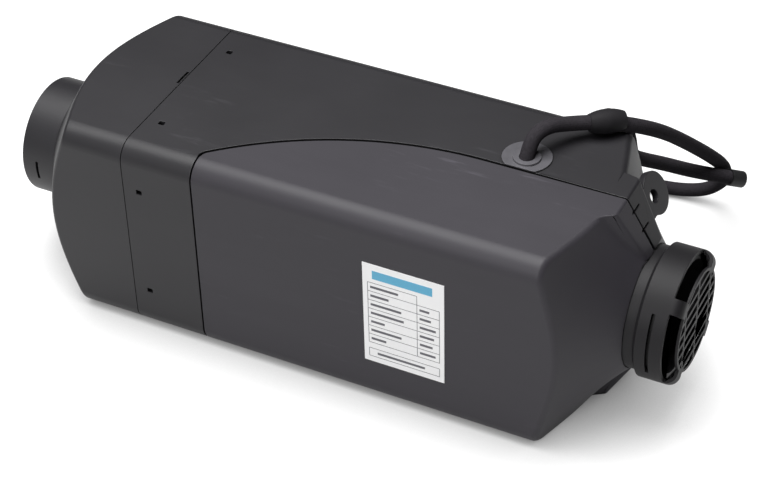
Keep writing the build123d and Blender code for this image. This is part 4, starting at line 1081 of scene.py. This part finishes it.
@dataclass
class Wiring(Assembly):
    """The main lead, the supply lead that leaves it, and the pieces on them."""

    diameter: float = 0.0076
    main_length: float = 0.386
    supply_length: float = 0.135

    def lead(self, name: str, route: Sequence[Point]) -> bpy.types.Object:
        """Make a lead as one NURBS spline with the route's points as control points.

        Args:
            name: The lead's name.
            route: Its control points.

        Returns:
            The curve object.
        """
        curve = bpy.data.curves.new(name, "CURVE")
        curve.dimensions = "3D"
        spline = curve.splines.new("NURBS")
        spline.points.add(len(route) - 1)
        for point, place in zip(spline.points, route):
            point.co = (*place, 1.0)
        spline.order_u = 3
        spline.use_endpoint_u = True
        spline.resolution_u = 12
        curve.bevel_depth = self.diameter / 2
        curve.bevel_resolution = 6
        curve.use_fill_caps = True
        piece = bpy.data.objects.new(name, curve)
        bpy.context.scene.collection.objects.link(piece)
        return piece

    def detail(self) -> None:
        main = self.lead("main_lead_sleeve", MAIN_ROUTE)
        supply = self.lead("supply_lead_sleeve", SUPPLY_ROUTE)
        Bench.hand_over(main, Body.HEATER, SLEEVE, ["main_lead"])
        Bench.hand_over(supply, Body.HEATER, SLEEVE, ["supply_lead"])
        self.pieces += [main, supply]


# ---------------------------------------------------------------- rating label
@dataclass
class RatingLabel(Assembly):
    """White sticker on the cover: a plain header bar, an empty ruled table, plain bars.

    Places on the label are metres from its upper left corner, as it is seen.
    """

    print_depth: float = 0.00004
    rule: float = 0.00032
    header: tuple[float, float, float, float] = (0.0052, 0.0038, 0.0372, 0.0090)
    table_left: float = 0.0027
    table_split: float = 0.0290
    table_right: float = 0.0409
    row_top: float = 0.0115
    row_height: float = 0.0055
    left_bars: tuple[float, ...] = (0.0150, 0.0098, 0.0165, 0.0178, 0.0074, 0.0164, 0.0080)
    right_bars: tuple[float, ...] = (0.0052, 0.0060, 0.0086, 0.0076, 0.0068, 0.0084)
    bar_height: float = 0.0014
    foot: tuple[float, float, float, float] = (0.0027, 0.0538, 0.0409, 0.0590)
    foot_bar: tuple[float, float, float, float] = (0.0072, 0.0558, 0.0330, 0.0572)

    def detail(self) -> None:
        """Thin the sheet by the ink's depth and lay the ink on it."""
        low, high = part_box("type_label")
        self.left, self.top, self.face = low[0], high[2], low[1]
        for vertex in self.pieces[0].data.vertices:
            if vertex.co.y < self.face + self.print_depth:
                vertex.co.y = self.face + self.print_depth
        self.ink("label_header", [self.header], HEADER_INK)
        self.ink("label_rules", self.rules(), RULE_INK)
        self.ink("label_bars", self.bars(), BAR_INK)

    def ink(self, name: str, areas: Sequence[tuple[float, float, float, float]],
            finish: Finish) -> None:
        """Print rectangles.

        Args:
            name: The piece's name.
            areas: Left, top, right and bottom of each.
            finish: The ink.
        """
        points, sizes = [], []
        for left, top, right, bottom in areas:
            points.append((self.left + (left + right) / 2, self.face + self.print_depth,
                           self.top - (top + bottom) / 2))
            sizes.append((right - left, 2 * self.print_depth, bottom - top))
        piece = block_tree().bake(name, points, finish, sizes)
        self.pieces.append(Bench.hand_over(piece, Body.COVER, finish))

    def rules(self) -> list[tuple[float, float, float, float]]:
        """Lay out the table's lines and the footer's frame.

        Returns:
            Left, top, right and bottom of each line.
        """
        half = self.rule / 2
        end = self.row_top + self.row_height * len(self.left_bars)
        lines = [(x - half, self.row_top, x + half, end)
                 for x in (self.table_left, self.table_split)]
        start = self.row_top + self.row_height
        lines.append((self.table_right - half, start, self.table_right + half, end))
        for row in range(len(self.left_bars) + 1):
            y = self.row_top + row * self.row_height
            right = self.table_right if row else self.table_split
            lines.append((self.table_left, y - half, right, y + half))
        left, top, right, bottom = self.foot
        lines += [(left, y - half, right, y + half) for y in (top, bottom)]
        lines += [(x - half, top, x + half, bottom) for x in (left, right)]
        return lines

    def bars(self) -> list[tuple[float, float, float, float]]:
        """Lay out the plain bars where a rating plate has its entries.

        Returns:
            Left, top, right and bottom of each bar.
        """
        found = [self.foot_bar]
        inset = self.row_height / 4
        for column, first, widths in ((self.table_left, 0, self.left_bars),
                                      (self.table_split, 1, self.right_bars)):
            for row, width in enumerate(widths):
                y = self.row_top + (first + row + 0.5) * self.row_height
                x = column + inset
                found.append((x, y - self.bar_height / 2, x + width, y + self.bar_height / 2))
        return found


# ---------------------------------------------------------------- foot fittings
@dataclass
class FootFittings(Assembly):
    """Flange studs with their threads, the two stubs, the gasket and the fuel pipe."""

    pitch: float = 0.001
    radius: float = 0.003
    core: float = 0.0026
    root: float = 0.0034
    chamfer: float = 0.0006
    rounding: float = 0.0003

    def detail(self) -> None:
        """Turn the studs down to their core and wind a thread round each."""
        studs = Bench.welded_copy("flange_studs", "flange_stud_cores")
        low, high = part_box("flange_studs")
        thread_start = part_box("flange_gasket")[1][1]
        places = [(x, z) for x in (low[0] + self.root, high[0] - self.root)
                  for z in (low[2] + self.root, high[2] - self.root)]
        for vertex in studs.data.vertices:
            x, z = min(places, key=lambda q: math.hypot(q[0] - vertex.co.x, q[1] - vertex.co.z))
            reach = math.hypot(vertex.co.x - x, vertex.co.z - z)
            if reach > self.core and reach < self.radius + self.chamfer / 4:
                share = self.core / reach
                vertex.co.x = x + (vertex.co.x - x) * share
                vertex.co.z = z + (vertex.co.z - z) * share
        studs = Bench.softened(studs, self.rounding)
        self.pieces.append(Bench.hand_over(studs, Body.HEATER, BRIGHT_STEEL,
                                           ["flange_studs"]))
        length = high[1] - thread_start - 2 * self.chamfer
        threads = thread_tree(Way.ALONG_Y).bake(
            "flange_stud_threads", [(x, thread_start + self.chamfer, z) for x, z in places],
            BRIGHT_STEEL, Radius=self.core, Pitch=self.pitch, Turns=length / self.pitch,
            Ridge=self.radius - self.core)
        self.pieces.append(Bench.hand_over(threads, Body.HEATER, BRIGHT_STEEL))


# ---------------------------------------------------------------- screws
HEAD_ROUNDING = 0.08


@dataclass
class ScrewSet:
    """One size of socket-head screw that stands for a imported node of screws.

    The head is its radius and height, and the places are Y and Z, or X and Z.
    """

    node: str
    body: Body
    way: Way
    head: tuple[float, float]
    key: float
    shank: float
    places: tuple[tuple[float, float], ...]

    def make(self) -> bpy.types.Object:
        """Set the screws with their heads on the node's outer side.

        Returns:
            The screws as one piece.
        """
        low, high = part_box(self.node)
        if self.way is Way.ALONG_X:
            seat, length = high[0] - self.head[1], high[0] - low[0] - self.head[1]
            points = [(seat, y, z) for y, z in self.places]
        else:
            seat, length = low[1] + self.head[1], high[1] - low[1] - self.head[1]
            points = [(x, seat, z) for x, z in self.places]
        piece = screw_tree(self.way).bake(
            self.node + "_finished", points, BRIGHT_STEEL, Head_radius=self.head[0],
            Head_height=self.head[1], Key_radius=self.key, Shank_radius=self.shank,
            Shank_length=length)
        piece = Bench.softened(piece, self.head[1] * HEAD_ROUNDING)
        return Bench.hand_over(piece, self.body, BRIGHT_STEEL, [self.node])


def on_circle(radius: float, first: float, axis_z: float) -> tuple[tuple[float, float], ...]:
    """Four places on a circle about the main axis.

    Args:
        radius: The circle's radius.
        first: The first place's angle in degrees.
        axis_z: Height of the main axis.

    Returns:
        Pairs of Y and Z.
    """
    angles = [math.radians(first + 90 * i) for i in range(4)]
    return tuple((radius * math.cos(a), axis_z + radius * math.sin(a)) for a in angles)


@dataclass
class HeatSection(Assembly):
    """Heat exchanger, burner and glow plug, with the burner's screws."""

    screw_circle: float = 0.0305
    screw_turn: float = 22.5
    axis_z: float = 0.0575

    def detail(self) -> None:
        """Set the burner's screws."""
        places = on_circle(self.screw_circle, self.screw_turn, self.axis_z)
        screws = ScrewSet("burner_screws", Body.HEATER, Way.ALONG_X, head=(0.0026, 0.0022),
                          key=0.0014, shank=0.0015, places=places)
        self.pieces.append(screws.make())


@dataclass
class BlowerSection(Assembly):
    """Blower, motor and wheels, with the blower's screws and the armature's coils."""

    screw_circle: float = 0.040
    screw_turn: float = 45.0
    axis_z: float = 0.0575
    coils: int = 5
    coil_radius: float = 0.0078
    coil_wire: float = 0.0019
    coil_overhang: float = 0.002
    commutator: float = 0.006

    def detail(self) -> None:
        """Set the blower's screws and wind the armature."""
        places = on_circle(self.screw_circle, self.screw_turn, self.axis_z)
        screws = ScrewSet("blower_screws", Body.HEATER, Way.ALONG_X, head=(0.0042, 0.0035),
                          key=0.0022, shank=0.0024, places=places)
        self.pieces.append(screws.make())
        low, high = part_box("armature")
        start, end = low[0] + self.commutator, high[0]
        half_turn = math.pi / self.coils
        coils = coil_tree().bake(
            "armature_coils", [((start + end) / 2, 0.0, self.axis_z)] * self.coils, WIRE_COPPER,
            Length=end - start + self.coil_overhang,
            Width=2 * self.coil_radius * math.sin(half_turn),
            Offset=self.coil_radius * math.cos(half_turn), Wire=self.coil_wire,
            Step=2 * half_turn)
        Bench.smooth(coils.data, SMOOTH_ANGLE)
        self.pieces.append(Bench.hand_over(coils, Body.ROTOR, WIRE_COPPER))


@dataclass
class ControlUnit(Assembly):
    """Control unit under the label face: case, lid, populated board and screws."""

    screw_z: tuple[float, float] = (0.049, 0.066)
    chip_rounding: float = 0.0002
    parts: tuple[tuple[float, float, float, float, float], ...] = (
        (0.012, 0.016, 0.010, 0.010, 0.0016), (0.030, 0.020, 0.014, 0.014, 0.0014),
        (0.048, 0.014, 0.007, 0.012, 0.0018), (0.014, 0.052, 0.012, 0.008, 0.0020),
        (0.030, 0.058, 0.008, 0.008, 0.0022), (0.044, 0.054, 0.006, 0.010, 0.0016),
        (0.012, 0.034, 0.004, 0.003, 0.0008), (0.018, 0.034, 0.004, 0.003, 0.0008),
        (0.050, 0.034, 0.004, 0.003, 0.0008), (0.050, 0.040, 0.004, 0.003, 0.0008),
    )

    def detail(self) -> None:
        """Set the screws and the parts on the board."""
        low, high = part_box("control_unit_screws")
        middle = (low[0] + high[0]) / 2
        places = tuple((middle, z) for z in self.screw_z)
        screws = ScrewSet("control_unit_screws", Body.HEATER, Way.AGAINST_Y,
                          head=(0.003, 0.0008), key=0.0014, shank=0.0016, places=places)
        self.pieces.append(screws.make())
        low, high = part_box("control_unit_board")
        points = [(low[0] + x, high[1] + depth / 2, low[2] + z)
                  for x, z, _, _, depth in self.parts]
        sizes = [(width, depth, height) for _, _, width, height, depth in self.parts]
        chips = block_tree().bake("board_chips", points, CHIP_PLASTIC, sizes)
        chips = Bench.softened(chips, self.chip_rounding)
        self.pieces.append(Bench.hand_over(chips, Body.HEATER, CHIP_PLASTIC))


def assemblies() -> list[Assembly]:
    """List the sub-assemblies in building order.

    Returns:
        The sub-assemblies, ready to build.
    """
    rotor, cover = Body.ROTOR, Body.COVER
    wiring = Wiring((
        DressedNode("harness_splitter", BLACK_RUBBER, 0.0, 50.0),
        DressedNode("main_connector", PLUG_PLASTIC),
        DressedNode("supply_plug", PLUG_PLASTIC, 0.0008),
    ))
    housing = Assembly((
        DressedNode("lower_shell", SHELL_PLASTIC, 0.0004, across_seam="upper_shell"),
        DressedNode("upper_shell", COVER_PLASTIC, 0.0006, body=cover, across_seam="lower_shell"),
        DressedNode("outlet_hood", HOOD_PLASTIC, 0.0002, body=Body.HOOD),
        DressedNode("inlet_nozzle", GUARD_PLASTIC, 0.0003),
        DressedNode("inlet_guard", GUARD_PLASTIC, 0.0003, body=Body.GUARD),
        DressedNode("cable_grommet", GROMMET_RUBBER, 0.0003),
        DressedNode("blank_grommet", GROMMET_RUBBER, 0.0003),
    ))
    label = RatingLabel((DressedNode("type_label", LABEL_FILM, 0.0, body=cover),))
    foot = FootFittings((
        DressedNode("exhaust_stub", CAST_ALUMINIUM),
        DressedNode("combustion_air_stub", CAST_ALUMINIUM),
        DressedNode("flange_gasket", GASKET_FIBRE, 0.0002),
        DressedNode("fuel_pipe", FUEL_STEEL, 0.0002),
        DressedNode("fuel_pipe_grommet", BLACK_RUBBER),
    ))
    heat = HeatSection((
        DressedNode("heat_exchanger", CAST_ALUMINIUM, 0.0),
        DressedNode("burner_head", BURNER_STEEL),
        DressedNode("burner_tube", BURNER_STEEL, 0.0002),
        DressedNode("glow_plug", BRIGHT_STEEL, 0.0002),
        DressedNode("glow_plug_seal", BLACK_RUBBER, 0.0001),
        DressedNode("glow_plug_screen", BURNER_STEEL, 0.0001),
        DressedNode("overheat_sensor", BRIGHT_STEEL, 0.0002),
        DressedNode("sensor_clip", BRIGHT_STEEL, 0.0001),
    ))
    blower = BlowerSection((
        DressedNode("blower_gasket", GASKET_FIBRE, 0.0001),
        DressedNode("blower_cover", BLOWER_ALLOY),
        DressedNode("blower_housing", BLOWER_ALLOY),
        DressedNode("combustion_wheel", BLOWER_ALLOY, 0.0002, body=rotor),
        DressedNode("motor_can", MOTOR_STEEL),
        DressedNode("motor_bushes", BUSH_BRONZE, 0.0002),
        DressedNode("stator_magnets", FERRITE),
        DressedNode("armature", ARMATURE_IRON, 0.0002, body=rotor),
        DressedNode("rotor_shaft", BRIGHT_STEEL, 0.0002, body=rotor),
        DressedNode("fan_wheel", FAN_PLASTIC, 0.0003, body=rotor),
    ))
    unit = ControlUnit((
        DressedNode("control_unit_case", UNIT_PLASTIC),
        DressedNode("control_unit_cover", UNIT_PLASTIC),
        DressedNode("control_unit_board", BOARD_LAMINATE, 0.0001),
    ))
    return [wiring, housing, label, foot, heat, blower, unit]


def main() -> None:
    """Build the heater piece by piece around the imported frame."""
    logging.basicConfig(level=logging.INFO, format="%(message)s")
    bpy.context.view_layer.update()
    Studio().build()
    for assembly in assemblies():
        assembly.build()
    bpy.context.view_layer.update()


if __name__ == "__main__":
    main()
